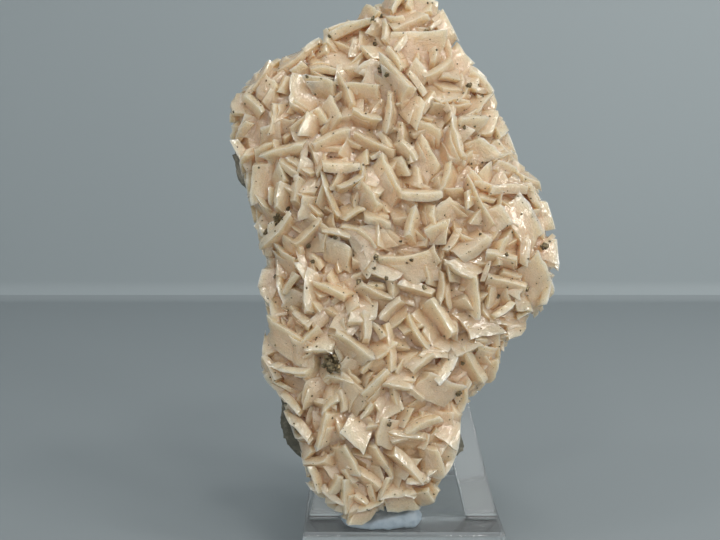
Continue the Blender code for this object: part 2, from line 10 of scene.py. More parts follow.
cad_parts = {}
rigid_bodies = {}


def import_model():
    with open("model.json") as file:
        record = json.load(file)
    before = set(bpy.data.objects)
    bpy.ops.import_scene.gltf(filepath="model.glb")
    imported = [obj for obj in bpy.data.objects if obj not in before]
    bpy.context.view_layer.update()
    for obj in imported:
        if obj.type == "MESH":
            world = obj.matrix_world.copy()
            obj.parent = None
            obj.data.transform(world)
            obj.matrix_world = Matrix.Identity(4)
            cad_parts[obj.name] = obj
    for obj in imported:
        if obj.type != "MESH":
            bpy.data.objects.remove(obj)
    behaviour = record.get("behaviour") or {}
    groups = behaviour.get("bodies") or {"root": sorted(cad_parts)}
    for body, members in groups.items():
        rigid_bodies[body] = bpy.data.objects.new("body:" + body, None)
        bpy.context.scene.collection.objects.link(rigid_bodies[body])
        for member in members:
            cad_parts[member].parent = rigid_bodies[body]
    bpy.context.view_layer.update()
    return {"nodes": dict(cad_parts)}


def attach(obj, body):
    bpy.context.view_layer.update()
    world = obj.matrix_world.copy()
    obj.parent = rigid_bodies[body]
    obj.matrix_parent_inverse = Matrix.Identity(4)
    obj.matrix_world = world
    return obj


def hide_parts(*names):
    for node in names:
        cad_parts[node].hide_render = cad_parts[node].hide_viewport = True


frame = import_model()

# Dolomite specimen: saddle-shaped crystals grown on dark rock, specks of iron sulphide, and the
# clear stand with its pad of putty. The druse is worked out flat and in mm: across (to the right),
# up (along the slab) and out (from the plane where crystals meet rock), as in the model's source.

MM = 0.001
GAP = 0.3
TINY = 1e-9
CORNER_SLACK = 1e-6  # how far past its ends an edge of the outline still counts
BACK_PLANE = 0.5 * GAP  # the flat back of the druse, in front of the rock
SIDES = (-1.0, 1.0)
ANY_TURN = (-90.0, 90.0)

# Driving dimensions of the druse, the same as in the model's source
SLAB_MIDDLE = Vector((0.0, 70.0))
RIM_INSET = 3.6
RIM_DEPTH = 4.5
DOME_DEPTH = 9.5
LEAN_BACK = math.radians(10.0)
SPECIMEN_FOOT = Vector((-2.5, -20.0, 8.4))
DOME_CURVE = (2.4, 0.6)  # powers that round the dome off towards its rim
SWELL_PLACE = Vector((24.0, 78.0))  # middle of the fuller part of the dome, at the right
SWELL_HEIGHT = 2.6
SWELL_SPREAD = 300.0  # square of its reach
WAVE_HEIGHT = 0.9  # long waves in the base
WAVE_PITCH = (0.21, 0.17)
WAVE_SHIFT = 1.3
SEAT_LIMIT = 0.985  # how near the rim of the base a crystal may stand
SEAT_STEP = 0.8  # distance over which the slope of the base is taken
SEAT_STEEPEST = 1.1
PLATE_THICKNESS = (1.9, 2.7)
PLATE_DEPTH = (6.2, 8.0)
PLATE_SKEW = 0.38  # slant of a crystal's ends along its depth
END_SLANT = 0.3  # slant of its ends along its thickness
TOP_SLANT = 0.18  # slant of its top
DEPTH_GROWTH = (0.62, 26.0)  # share at no length, and the length that adds one more
THICKNESS_GROWTH = (0.6, 20.0)
THICKNESS_MOST = 1.15
TOP_HEIGHT = (3.6, 5.4)  # crystal tops above the base of the crust
BED_DEPTH = 0.9  # least depth of a crystal's foot in the base
FILL_AREA = ((-43.0, 43.0), (2.0, 137.0))
FILL_RIM = 1.5  # from the outline to the nearest crystal between the named ones
FILL_SPACING = 5.2
FILL_LENGTH = (5.5, 8.5)
FILL_LEAN = (22.0, 64.0)
FILL_TRIES = 5000
CRYSTAL_SEED = 11
LUMP_ROOM = 0.75  # free radius round a sulphide lump, as a share of its diameter
LUMP_RAISE = 0.25  # lift of its middle, as a share of its diameter

OUTLINE = [
    (2, 137), (11.5, 133.5), (15, 126), (18, 120), (24, 114.5), (26.5, 107), (29, 100),
    (32, 93), (36.5, 88), (38.5, 82), (41, 74), (41.5, 66), (39.5, 57), (34, 51),
    (28.5, 45), (26, 38.5), (21, 33), (16.5, 29), (16, 21), (13, 13), (10, 7), (6, 4.5),
    (-2, 4), (-6, 2.5), (-9, 0), (-13.5, 3), (-19, 7), (-22.5, 12), (-23.5, 20),
    (-27, 28), (-29.5, 34), (-34, 39), (-33, 47), (-32, 54), (-34.5, 61), (-33, 67),
    (-35.5, 76), (-38, 86), (-39, 92), (-42, 99), (-42, 107), (-39.5, 112), (-35, 118.5),
    (-28, 121), (-24, 124), (-17, 126.5), (-10, 130.5), (-6, 134),
]

# Crystals that stand out: across, up, turn of the long edge and lean (degrees), length
CRYSTALS = [
    (-11, 127, 12, -60, 12), (-6, 131, -50, 45, 7), (2, 128, 25, -55, 10),
    (12, 127, -60, 50, 9), (8, 132, -20, 40, 7), (-25, 118, 20, -65, 9),
    (-35, 115, 40, -60, 10), (-31, 110, -40, 68, 7), (-35, 106, -40, 30, 8),
    (-39, 108, -50, -40, 8), (-23, 108, 85, 62, 10), (-28.5, 103, 80, 35, 9),
    (-18, 110, -15, 30, 7), (-12.5, 117, -20, -60, 11), (-8.5, 121, 80, 40, 6),
    (5, 121, 5, 55, 15), (0.5, 111, -55, 28, 11), (5, 112, -60, -20, 8),
    (11, 114, 30, 35, 10), (12, 109, 20, -55, 10), (12, 104.5, 5, 25, 10),
    (4.5, 104.5, 70, -50, 8), (-1, 104.5, 85, 12, 9.5), (-7, 109, -10, 40, 8),
    (-12, 107.5, -68, 20, 9.5), (-15.5, 103, -65, 50, 7), (-8, 102, -20, 20, 8),
    (18, 112, 70, -50, 5), (24, 110, -30, 66, 7), (22, 115, -40, -50, 8),
    (16, 120, -65, 50, 8), (19.5, 106, 55, -48, 8), (22, 101.5, 60, -42, 8),
    (25.5, 102, 30, -50, 6), (14, 95, -80, 25, 10.5), (-39, 95, -75, 35, 8.5),
    (-36, 93.5, 38, 15, 8.5), (-26, 94, 10, 18, 11), (-16, 96, 20, 20, 10),
    (-32, 88, 80, 45, 10), (-14, 90.5, -3, -15, 9), (-22, 89.5, -30, 15, 7),
    (-5, 94.5, -25, 32, 12), (-2, 86.5, -62, 45, 12), (-8, 86.5, 75, 28, 6),
    (-6.5, 81.5, -50, 42, 8), (-12, 85.5, 20, 15, 6.5), (-16, 82, -72, 20, 12.5),
    (-27, 82, 75, 20, 7), (-23, 83.5, 80, 18, 7), (-20.5, 81, 75, 48, 6),
    (-32, 81.5, -35, 50, 7.5), (-28, 74, 36, 14, 14), (-34, 73, -80, 30, 7),
    (-21.5, 73, 42, 20, 9.5), (-15, 74, -12, 10, 8), (-5, 73, 12, 74, 11.5),
    (-4.5, 78, -22, -30, 8), (-14, 69, -25, 62, 8.5), (-26, 67, -35, 45, 8),
    (5, 83, -3, -20, 11), (2, 94.5, -45, 25, 6.5), (7.5, 92, -60, 62, 10),
    (4.5, 87.5, 85, -40, 5), (13, 86, 70, 35, 9), (12.5, 79.5, 40, 66, 7),
    (4, 75, 80, 25, 7.5), (7.5, 78.5, -80, 35, 6.5), (10, 74.5, 25, 40, 6),
    (20, 80, -62, 32, 14.5), (27, 84.5, 18, -30, 12), (25.5, 89, -10, 45, 7.5),
    (33, 88, 15, -55, 8), (24, 77.5, -55, 55, 6.5), (30.5, 76, -50, 70, 13),
    (37.5, 79, -65, 40, 8), (25, 95, 20, -60, 8.5), (20, 94.5, -35, 45, 7.5),
    (30, 95, -60, 50, 8), (26, 67.5, -10, 30, 9), (18, 71, 30, -35, 9.5),
    (17, 65.5, -35, -50, 7.5), (4, 66, 5, 72, 13.5), (37, 70, -80, 45, 8),
    (33.5, 65, -50, 50, 8), (-25.5, 62, 40, -20, 7), (-21.5, 63, -60, 20, 6),
    (-19.5, 58.5, 87, 14, 11.5), (-29, 56, -32, 22, 9.5), (-33, 61, -35, -45, 7),
    (-14, 60, -25, -25, 9), (-6.5, 59, -25, 32, 8.5), (-0.5, 55.5, 45, 22, 7),
    (-8, 55, 10, -50, 7), (-2, 46.5, -85, 15, 12), (-12, 52, -20, -58, 7),
    (-11.5, 47, -40, 40, 11.5), (-7.5, 50, -80, 15, 7.5), (-25, 47, -28, 68, 15),
    (-31.5, 45, -35, -55, 7), (-31, 52, -60, 50, 8), (-32, 38.5, -50, 60, 7),
    (-23, 40, -5, 22, 9), (-19.5, 36, 75, 55, 7), (-14, 38, -10, 25, 8),
    (-10, 34.5, -40, 64, 8), (-15, 33.5, 40, -50, 6), (-4.5, 36.5, 50, 30, 10),
    (1, 38, -15, -42, 7), (-6.5, 43, 45, -30, 8), (-26, 35, -35, -36, 6),
    (12, 61.5, 80, 20, 7), (6, 60, -18, 20, 9.5), (18, 60, -78, 25, 11.5),
    (11, 53, -52, 30, 11.5), (4, 50, -58, 20, 9.5), (27, 61, -18, 42, 11.5),
    (20, 52, 5, -58, 10), (30, 52, -15, -50, 8), (35, 60, -45, 50, 8),
    (38, 58.5, 70, 45, 6.5), (18, 41, -52, 30, 12.5), (9, 45.5, -10, -55, 7),
    (11, 41, 40, 20, 9), (9, 36, -20, 64, 11), (22, 44.5, -15, 55, 8),
    (24, 38, -75, 35, 8), (28, 45, -70, -45, 8), (17, 33, 85, 25, 7),
    (14.5, 30, -35, -42, 7), (16.5, 47, 20, -30, 7), (-23, 27, -20, 30, 11),
    (-21.5, 23, 5, 20, 9), (-16, 26.5, 72, 25, 9), (-24.5, 32, -20, 40, 8),
    (-9, 25.5, -40, -58, 8), (-12, 19, -65, 48, 8), (-7.5, 13, -38, 35, 10),
    (0, 11.5, 10, -35, 9), (-11, 9.5, 88, 20, 10.5), (-14.5, 12.5, 65, -20, 6),
    (-18.5, 17, 10, 40, 9), (-19.5, 11.5, -80, 50, 8), (5, 28, 20, -20, 9.5),
    (3, 24, -10, 45, 11), (8.5, 18.5, -75, 45, 8), (1.5, 18, -50, 25, 10.5),
    (13, 24.5, 20, -52, 7), (11, 19.5, 60, 40, 9), (11.5, 13, 58, 35, 9),
    (6.5, 8, -60, 45, 7), (-5, 7.5, 20, 50, 7.5), (-9, 4, 75, 50, 8),
    (-14.5, 6.5, -30, 50, 8),
]

# Deep places between the crystals: across, up, radius
HOLLOWS = [
    (16, 75, 3.6), (6, 117, 3.6), (-6, 104, 2.8), (-33, 102, 3.2), (-25, 98.5, 3),
    (-9, 98.5, 3.2), (-19, 81.5, 2.6), (-4.5, 82, 2.8), (2, 92, 2.6), (-1, 70, 2.8),
    (-22, 57, 3.2), (-22, 42, 3.2), (22, 98, 3.2), (14, 38, 3.6), (-15, 21.5, 3.2),
    (-3, 20, 3.8), (-22, 29.5, 3.2), (7, 49, 2.8), (-9.5, 64, 3.4), (11, 67, 2.6),
]

# Iron sulphide lumps among the crystals: node, across, up, diameter, lift
SULPHIDES = [
    ("sulphide_main", -15.0, 42.5, 5.4, 2.2),
    ("sulphide_left", -27.5, 78.2, 3.2, 2.2),
    ("sulphide_top", -2.5, 114.2, 3.0, 2.4),
    ("sulphide_low", -2.5, 28.8, 3.4, 2.0),
]

# Sulphide grains that the photograph shows one by one: across, up, diameter
GRAINS = [
    (-32, 74.6, 1.3), (-21.5, 71, 1.1), (-20.3, 67, 1.0), (-30, 63.5, 0.9), (-9, 62, 1.3),
    (-2.3, 62.8, 0.8), (-4.8, 68, 1.2), (-5.2, 65.2, 0.8), (6.8, 60.5, 1.0), (25.5, 58.5, 1.0),
    (33, 60.5, 1.5), (15.5, 34.5, 1.2), (18.5, 111, 1.1), (-2, 113, 1.0), (-5, 122, 1.0),
    (8, 125.3, 1.2), (-21.8, 112.8, 0.9), (22, 108.8, 0.8), (-3.3, 129.8, 0.9), (-5.5, 127.9, 0.9),
    (-16.5, 123.8, 0.8), (-14.8, 72.8, 1.0), (17, 100, 0.8), (37.5, 71, 1.5), (27, 68.5, 0.9),
    (16.8, 42, 0.9), (-19.8, 108.9, 0.6), (-29.7, 76.3, 0.8), (-26.6, 80.2, 0.9),
    (3.8, 67.2, 0.8), (2.7, 66.5, 0.6), (20.6, 73.5, 0.7), (1.2, 71.8, 0.7), (28.8, 74.2, 0.5),
]

# Where the rock reaches out past the crystals: across, up, reach, and the push across and up
ROCK_PUSHES = ((-38.0, 96.0, 8.5, -7.6, 2.6), (-17.0, 26.0, 13.0, -9.2, -4.8),
               (13.0, 17.0, 8.0, 5.0, -1.0))

# Small crystals between the large ones, and those that wrap round the rim
SCATTER_AREA = ((-42.0, 42.0), (1.0, 136.0))
SMALL_RIM = 2.4  # from the outline to the nearest small crystal
SMALL_SPACING = 3.25
SMALL_TRIES = 9000
SMALL_LENGTH = (4.0, 7.0)
SMALL_DEPTH = (4.6, 6.6)
SMALL_THICKNESS = (1.5, 2.6)
SMALL_TOP = (1.6, 4.4)
SMALL_LEAN = (18.0, 64.0)
SMALL_CURVE = 0.7  # they are curved less than the large ones
SMALL_SEED = 5
RIM_ROWS = ((1.4, 74), (3.6, 70))  # height on the rim, number of crystals round it
RIM_WANDER = 0.35  # how far they stray along the rim, as a share of their spacing
RIM_OUT = 0.4  # how far outside the base they stand
RIM_FORWARD = (-0.1, 0.9)  # how far they face forwards
RIM_LENGTH = (4.0, 6.5)
RIM_TOP = (1.6, 3.2)
RIM_LEAN = (-60.0, 60.0)
RIM_SEED = 8
EDGE_DRAW = 0.95  # how much of what reaches past the outline is drawn in
OUTLINE_SAMPLES = 721  # directions in which the outline is measured for this

# How a crystal departs from a straight rhombic plate
FULLER = 1.18  # crystals are thicker than in the plain model
LARGE_CELLS = (8, 6, 3)  # cells along the length, depth and thickness of its mesh
SMALL_CELLS = (5, 4, 3)
LARGE_ROUNDING = 0.08  # radius of its edges
SMALL_ROUNDING = 0.07
SHARP_SHARE = 0.6  # crystals that end in a sharp edge, seen from the front
SHARP_SLOPE = (0.25, 0.75)  # slope of the top that makes the edge sharp
BLUNT_SLOPE = (0.0, 0.35)  # slope of the other tops, the other way
BEND = (0.02, 0.07)  # as a share of the length
BEND_ACROSS = 0.7  # how much it bends the other way along its depth
TWIST = 0.6
ARCH = (-0.2, 0.45)  # how far its ends hang down
WEDGE = 0.2  # how much thicker one end may be than the middle
POINT = (0.0, 0.09)  # how far its corners are drawn out
SLANT = 0.2
END_THINNING = 0.2
MIDDLE_THICKNESS = 0.9
TOP_THINNING = 0.2
STEP_REACH = (0.84, 1.0)  # share of the full reach at each step of its ends and top
END_STEPS = 5
TOP_STEPS = 6
RIPPLE = 0.11  # unevenness of its faces
RIPPLE_PITCH = 2.6
FLAT_RIPPLE = 0.6  # share of the ripple on its broad faces
RIPPLE_PHASES = 6
GRAIN_SPAN = 50.0  # how far crystals lie apart in the space of their material
SHELL_SEED = 3
SHARP_ANGLE = math.radians(38.0)

# Ledges: thinner crystals grown against the faces of a large one
LEDGE_SIZES = ((0.35, 0.8), (0.6, 0.95), (0.4, 0.7))  # shares of its length, depth, thickness
LEDGE_FREE = 0.55  # share of faces without one
LEDGE_DROP = (0.1, 0.3)
LEDGE_SINK = 0.45
LEDGE_SPIN = (-9.0, 9.0)

# The bed that the crystals grow from
BED_RINGS = 34
BED_SPOKES = 96
BED_EVENING = 0.8  # power that spreads the rings
BED_INSET = 2.3  # from the outline to the edge of the bed
BED_RAISE = 0.3
BED_ROUGHNESS = 1.1
BED_PITCH = 0.4
BED_SLICE = 1.7  # where the roughness is cut from its noise
BED_NOISE = (0.7, 2.0, 3)  # fading, refining and number of the noise's layers
BED_TONE = 0.5

# Sulphide grains scattered over the crystals, and the grains that make up a lump
DUST_COUNT = 700
DUST_SIZE = (0.17, 0.55)
DUST_FINENESS = 3  # power that makes most of them small
DUST_RIM = 1.0  # from the outline to the nearest grain
DUST_SEED = 29
DROP_HEIGHT = 60.0  # height from which a grain is dropped on the crystals
TWIN_FROM = 0.7  # a grain larger than this has smaller ones grown on it
TWIN_COUNT = 4
TWIN_REACH = 0.55
TWIN_SIZE = (0.35, 0.6)
GRAIN_SHAPE = ((0.8, 1.1), (0.8, 1.1), (0.6, 1.0))
GRAIN_CUT = 0.16  # cut of its edges, as a share of its size
GRAIN_PUSH = 0.05  # push of its corners, as a share of its size
LUMP_GRAINS = 9  # grains for each mm of a lump's diameter
LUMP_REACH = 0.42
LUMP_EVENING = 0.5  # power that spreads the grains out from its middle
LUMP_GRAIN_SIZE = (0.14, 0.30)
LUMP_SEED = 70

# Rock, putty and stand, in metres. Each layer of noise on rock and putty has a size and a height.
WELD_DISTANCE = 1e-6
FLAT_ANGLE = math.radians(1.0)
ROUGH_NOISE = (0.6, 2.0, 4)
ROCK_VOXEL = 0.0009
ROCK_LAYERS = ((0.011, 0.0008), (0.003, 0.00035))
ROCK_SHARP_ANGLE = math.radians(35.0)
PUTTY_VOXEL = 0.0005
PUTTY_LAYERS = ((0.006, 0.0004), (0.0016, 0.00012))
STAND_PIECES = (("stand_base", "acrylic_base"), ("stand_upright_left", "acrylic_left"),
                ("stand_upright_right", "acrylic_right"))
STAND_EDGE = 0.00022  # rounding of its edges
STAND_EDGE_STEPS = 3
STAND_SHARP_ANGLE = math.radians(30.0)

# Camera, stage and lamps, in metres. The camera stands as it did for the photograph. A lamp's
# numbers are its place, its aim, its size and its power.
CAMERA_AIM = Vector((-11.2, -27.0, 75.4)) * MM
CAMERA_DISTANCE = 0.2603
CAMERA_RISE = math.radians(8.0)
CAMERA_LENS = 53.8
CAMERA_NEAREST = 0.01
FLOOR_BACK = 0.378  # where the floor meets the backdrop, behind the stand
FLOOR_DROP = -0.0002  # the floor lies a hair under the stand
STAGE_REACH = 1.6
COVE = 0.012  # radius of the curve between floor and backdrop
COVE_STEPS = 8
FLOOR_COLOUR = (0.306, 0.342, 0.355)
WALL_COLOUR = (0.378, 0.426, 0.440)
LAMP_PLACES = ((0.02, -0.18, 0.72), (0.34, -0.24, 0.60), (-0.32, -0.24, 0.60), (0.58, -0.30, 0.30),
               (-0.56, -0.30, 0.28), (0.16, -0.42, 0.56), (-0.14, -0.50, 0.42), (0.40, -0.44, 0.32))
LAMP_AIM = Vector((0.0, -0.02, 0.08))
LAMP_SIZE = 0.08
LAMP_POWER = 0.305
LAMP_BIAS = 1.3  # the light is stronger from the right: share added for each metre
LAMP_COLOUR = (1.0, 0.97, 0.93)
OTHER_LAMPS = (("wall", Vector((0.42, 0.0, 0.36)), Vector((0.30, FLOOR_BACK, 0.12)), 0.15, 0.35),
               ("front", Vector((0.05, -0.60, 0.20)), LAMP_AIM, 0.50, 0.5))
SKY_COLOUR = (0.85, 0.90, 0.94, 1.0)
SKY_STRENGTH = 0.56


# Shapes shared with the model's source

def outline_radius(angle):
    """Distance from the middle to the outline along a direction."""
    ray = Vector((math.cos(angle), math.sin(angle)))
    best = 0.0
    for index, corner in enumerate(OUTLINE):
        start = Vector(corner) - SLAB_MIDDLE
        edge = Vector(OUTLINE[(index + 1) % len(OUTLINE)]) - SLAB_MIDDLE - start
        turn = ray.cross(edge)
        if abs(turn) < TINY:
            continue
        along_ray = start.cross(edge) / turn
        along_edge = start.cross(ray) / turn
        if along_ray > 0.0 and -CORNER_SLACK <= along_edge <= 1.0 + CORNER_SLACK:
            best = max(best, along_ray)
    return best


def base_radius(angle):
    return outline_radius(angle) - RIM_INSET


def crust_depth(place):
    """How far the base of the crust stands out from the rock at a place."""
    offset = place - SLAB_MIDDLE
    share = offset.length / base_radius(math.atan2(offset.y, offset.x))
    fall = max(0.0, 1.0 - share ** DOME_CURVE[0]) ** DOME_CURVE[1]
    swell = SWELL_HEIGHT * math.exp(-(place - SWELL_PLACE).length_squared / SWELL_SPREAD)
    wave = math.sin(WAVE_PITCH[0] * place.x + WAVE_SHIFT) * math.cos(WAVE_PITCH[1] * place.y)
    waves = WAVE_HEIGHT * wave
    return RIM_DEPTH + fall * (DOME_DEPTH + swell + waves)


def seat(across, up):
    """Point on the base of the crust under a place, and the way it faces there."""
    offset = Vector((across, up)) - SLAB_MIDDLE
    limit = base_radius(math.atan2(offset.y, offset.x))
    share = min(offset.length / limit, SEAT_LIMIT)
    foot = SLAB_MIDDLE + offset.normalized() * share * limit if offset.length else SLAB_MIDDLE
    right, upward = Vector((SEAT_STEP, 0.0)), Vector((0.0, SEAT_STEP))
    slope_x = crust_depth(foot + right) - crust_depth(foot - right)
    slope_y = crust_depth(foot + upward) - crust_depth(foot - upward)
    steep = Vector((slope_x, slope_y)) / (2.0 * SEAT_STEP)
    if steep.length > SEAT_STEEPEST:
        steep *= SEAT_STEEPEST / steep.length
    facing = Vector((-steep.x, -steep.y, 1.0)).normalized()
    return Vector((foot.x, foot.y, crust_depth(foot))), facing


OUTLINE_ANGLES = np.linspace(-math.pi, math.pi, OUTLINE_SAMPLES)
OUTLINE_REACHES = np.array([outline_radius(angle) for angle in OUTLINE_ANGLES])


def inside(place, margin):
    """Whether a place is within the outline by at least a margin."""
    offset = place - SLAB_MIDDLE
    return offset.length <= outline_radius(math.atan2(offset.y, offset.x)) - margin


def near(place, spots):
    return any((place - Vector((s[0], s[1]))).length < s[2] for s in spots)


def random_place(rng, area):
    return Vector((rng.uniform(*area[0]), rng.uniform(*area[1])))


def fill_places(rng):
    """Places for the crystals between the named ones, spread evenly."""
    taken = [Vector((row[0], row[1])) for row in CRYSTALS]
    lumps = [(row[1], row[2], row[3] * LUMP_ROOM) for row in SULPHIDES]
    added = []
    for _ in range(FILL_TRIES):
        place = random_place(rng, FILL_AREA)
        if not inside(place, FILL_RIM) or near(place, HOLLOWS) or near(place, lumps):
            continue
        if all((place - other).length > FILL_SPACING for other in taken):
            taken.append(place)
            added.append(place)
    return added


def specimen_placing():
    """From across, up and out in mm to the world in metres."""
    axes = Matrix(((1, 0, 0, 0), (0, 0, -1, 0), (0, 1, 0, 0), (0, 0, 0, 1)))
    lean = Matrix.Rotation(-LEAN_BACK, 4, "X")
    return Matrix.Scale(MM, 4) @ Matrix.Translation(SPECIMEN_FOOT) @ lean @ axes


class Plate:
    """Where one crystal sits: its foot, its own three directions and its sizes in mm."""

    def __init__(self, foot, facing, turn, lean):
        self.foot = foot
        self.facing = facing
        heading = Vector((math.cos(math.radians(turn)), math.sin(math.radians(turn)), 0.0))
        self.long_way = (heading - facing * heading.dot(facing)).normalized()
        side = facing.cross(self.long_way)
        self.tilt = math.radians(lean)
        self.deep_way = facing * math.cos(self.tilt) + side * math.sin(self.tilt)
        self.thin_way = self.long_way.cross(self.deep_way)

    def size(self, length, depth, thickness, top, hand):
        self.length, self.depth, self.thickness, self.hand = length, depth, thickness, hand
        half_high = 0.5 * (depth * abs(math.cos(self.tilt)) + thickness * abs(math.sin(self.tilt)))
        self.centre = self.foot + self.facing * min(top - half_high, half_high - BED_DEPTH)
        return self

    def half_sizes(self):
        return 0.5 * np.array((self.length, self.depth, self.thickness))


def large_plate(across, up, turn, lean, length, rng):
    plate = Plate(*seat(across, up), turn, lean)
    depth = rng.uniform(*PLATE_DEPTH) * min(1.0, DEPTH_GROWTH[0] + length / DEPTH_GROWTH[1])
    growth = min(THICKNESS_MOST, THICKNESS_GROWTH[0] + length / THICKNESS_GROWTH[1])
    thickness = rng.uniform(*PLATE_THICKNESS) * growth
    top = rng.uniform(*TOP_HEIGHT)
    return plate.size(length, depth, thickness, top, rng.choice(SIDES))


def large_plates():
    """The crystals of the CAD crust, in the same places and sizes."""
    rng = random.Random(CRYSTAL_SEED)
    plates = [large_plate(*row, rng) for row in CRYSTALS]
    for place in fill_places(rng):
        turn = rng.uniform(*ANY_TURN)
        lean = rng.choice(SIDES) * rng.uniform(*FILL_LEAN)
        plates.append(large_plate(place.x, place.y, turn, lean, rng.uniform(*FILL_LENGTH), rng))
    return plates


def small_plates():
    """Small crystals on the base, in the gaps between the large ones."""
    rng = random.Random(SMALL_SEED)
    taken = []
    plates = []
    for _ in range(SMALL_TRIES):
        place = random_place(rng, SCATTER_AREA)
        if not inside(place, SMALL_RIM):
            continue
        if any((place - other).length < SMALL_SPACING for other in taken):
            continue
        taken.append(place)
        lean = rng.choice(SIDES) * rng.uniform(*SMALL_LEAN)
        plate = Plate(*seat(place.x, place.y), rng.uniform(*ANY_TURN), lean)
        plates.append(small_size(plate, rng, rng.uniform(*SMALL_LENGTH), rng.uniform(*SMALL_TOP)))
    return plates


def small_size(plate, rng, length, top):
    depth = rng.uniform(*SMALL_DEPTH)
    return plate.size(length, depth, rng.uniform(*SMALL_THICKNESS), top, rng.choice(SIDES))


def rim_plates():
    """Crystals that wrap round the edge of the crust, facing outwards."""
    rng = random.Random(RIM_SEED)
    plates = []
    for height, count in RIM_ROWS:
        for index in range(count):
            angle = math.tau * (index + rng.uniform(-RIM_WANDER, RIM_WANDER)) / count
            way = Vector((math.cos(angle), math.sin(angle), 0.0))
            foot = Vector((*SLAB_MIDDLE, height)) + way * (base_radius(angle) + RIM_OUT)
            facing = (way + Vector((0.0, 0.0, rng.uniform(*RIM_FORWARD)))).normalized()
            plate = Plate(foot, facing, rng.uniform(*ANY_TURN), rng.uniform(*RIM_LEAN))
            plates.append(small_size(plate, rng, rng.uniform(*RIM_LENGTH), rng.uniform(*RIM_TOP)))
    return plates


# Crystal shells

def box_lattice(cells):
    """Grid points on the skin of a box of cells, the quads between them, and the cells."""
    place = {}
    points = []
    quads = []

    def point(i, j, k):
        key = (i, j, k)
        if key not in place:
            place[key] = len(points)
            points.append(key)
        return place[key]

    for axis in range(3):
        across, along = [n for n in range(3) if n != axis]
        for end in (0, cells[axis]):
            for s in range(cells[across]):
                for t in range(cells[along]):
                    ring = []
                    for ds, dt in ((0, 0), (1, 0), (1, 1), (0, 1)):
                        key = [0, 0, 0]
                        key[axis], key[across], key[along] = end, s + ds, t + dt
                        ring.append(point(*key))
                    if (end == 0) != (axis == 1):
                        ring.reverse()
                    quads.append(ring)
    return np.array(points), np.array(quads), np.array(cells)


LARGE_LATTICE = box_lattice(LARGE_CELLS)
SMALL_LATTICE = box_lattice(SMALL_CELLS)


def rounded_box(keys, cells, half, radius):
    """Lattice points spread over a box with rounded edges, in mm."""
    inner = half - radius
    share = (keys - 1) / (cells - 2)
    spread = (2.0 * share - 1.0) * inner
    spread = np.where(keys == 0, -half, np.where(keys == cells, half, spread))
    core = np.clip(spread, -inner, inner)
    over = spread - core
    length = np.linalg.norm(over, axis=1, keepdims=True)
    return core + over * radius / np.maximum(length, TINY)


def draw_shape(rng, plate, curve=1.0):
    """How one crystal departs from a straight rhombic plate, drawn at random."""
    sharp = rng.random() < SHARP_SHARE
    slope = rng.uniform(*SHARP_SLOPE) if sharp else -rng.uniform(*BLUNT_SLOPE)
    return {
        "bend": curve * rng.uniform(*BEND) * plate.length * rng.choice(SIDES),
        "twist": curve * rng.uniform(-TWIST, TWIST),
        "arch": curve * rng.uniform(*ARCH),
        "wedge": rng.uniform(-WEDGE, WEDGE),
        "point": rng.uniform(*POINT),
        "slant": rng.uniform(-SLANT, SLANT),
        "tip": math.copysign(slope, plate.tilt),
        "ends": np.array([rng.uniform(*STEP_REACH) for _ in range(END_STEPS)]),
        "tops": np.array([rng.uniform(*STEP_REACH) for _ in range(TOP_STEPS)]),
        "phase": np.array([rng.uniform(0.0, math.tau) for _ in range(RIPPLE_PHASES)]),
    }


def ripple(height, first, second, phases):
    """Gentle waves that run both ways over a face."""
    return height * np.sin(RIPPLE_PITCH * first + phases[0]) * np.cos(RIPPLE_PITCH * second + phases[1])


def saddle(own, half, shape):
    """Curve a rounded box into a saddle with pointed corners, uneven ends and a tilted top."""
    u, v, w = own.T
    fu, fv = (own / half).T[:2]
    end_step = np.clip((fv + 1.0) * 0.5 * END_STEPS, 0, END_STEPS - 1).astype(int)
    top_step = np.clip((fu + 1.0) * 0.5 * TOP_STEPS, 0, TOP_STEPS - 1).astype(int)
    u = u * shape["ends"][end_step] * (1.0 + shape["point"] * fv ** 2)
    w = w * (1.0 - END_THINNING * fu ** 2 + shape["wedge"] * fu) * (MIDDLE_THICKNESS - TOP_THINNING * fv)
    w = w * FULLER
    v = np.where(fv > 0.0, v * shape["tops"][top_step], v)
    v = v * (1.0 + shape["point"] * fu ** 2) + np.clip(fv, 0.0, 1.0) * shape["tip"] * w
    v = v - shape["arch"] * fu ** 2 * (0.5 + 0.5 * fv)
    u = u + shape["slant"] * v
    w = w + shape["bend"] * (fu ** 2 - BEND_ACROSS * fv ** 2) + shape["twist"] * fu * fv
    phase = shape["phase"]
    along = ripple(RIPPLE, v, w, phase[0:2])
    deep = ripple(RIPPLE, u, w, phase[2:4])
    thick = ripple(FLAT_RIPPLE * RIPPLE, u, v, phase[4:6])
    return u + along, v + deep, w + thick


def kept_inside(points):
    """Draw in what reaches past the outline, so that the edge of the druse stays even."""
    offset = points[:, :2] - np.array(SLAB_MIDDLE)
    reach = np.linalg.norm(offset, axis=1)
    limit = np.interp(np.arctan2(offset[:, 1], offset[:, 0]), OUTLINE_ANGLES, OUTLINE_REACHES)
    over = np.maximum(reach - limit, 0.0)
    points[:, :2] -= offset / np.maximum(reach, TINY)[:, None] * (over * EDGE_DRAW)[:, None]
    points[:, 2] = np.maximum(points[:, 2], BACK_PLANE)
    return points


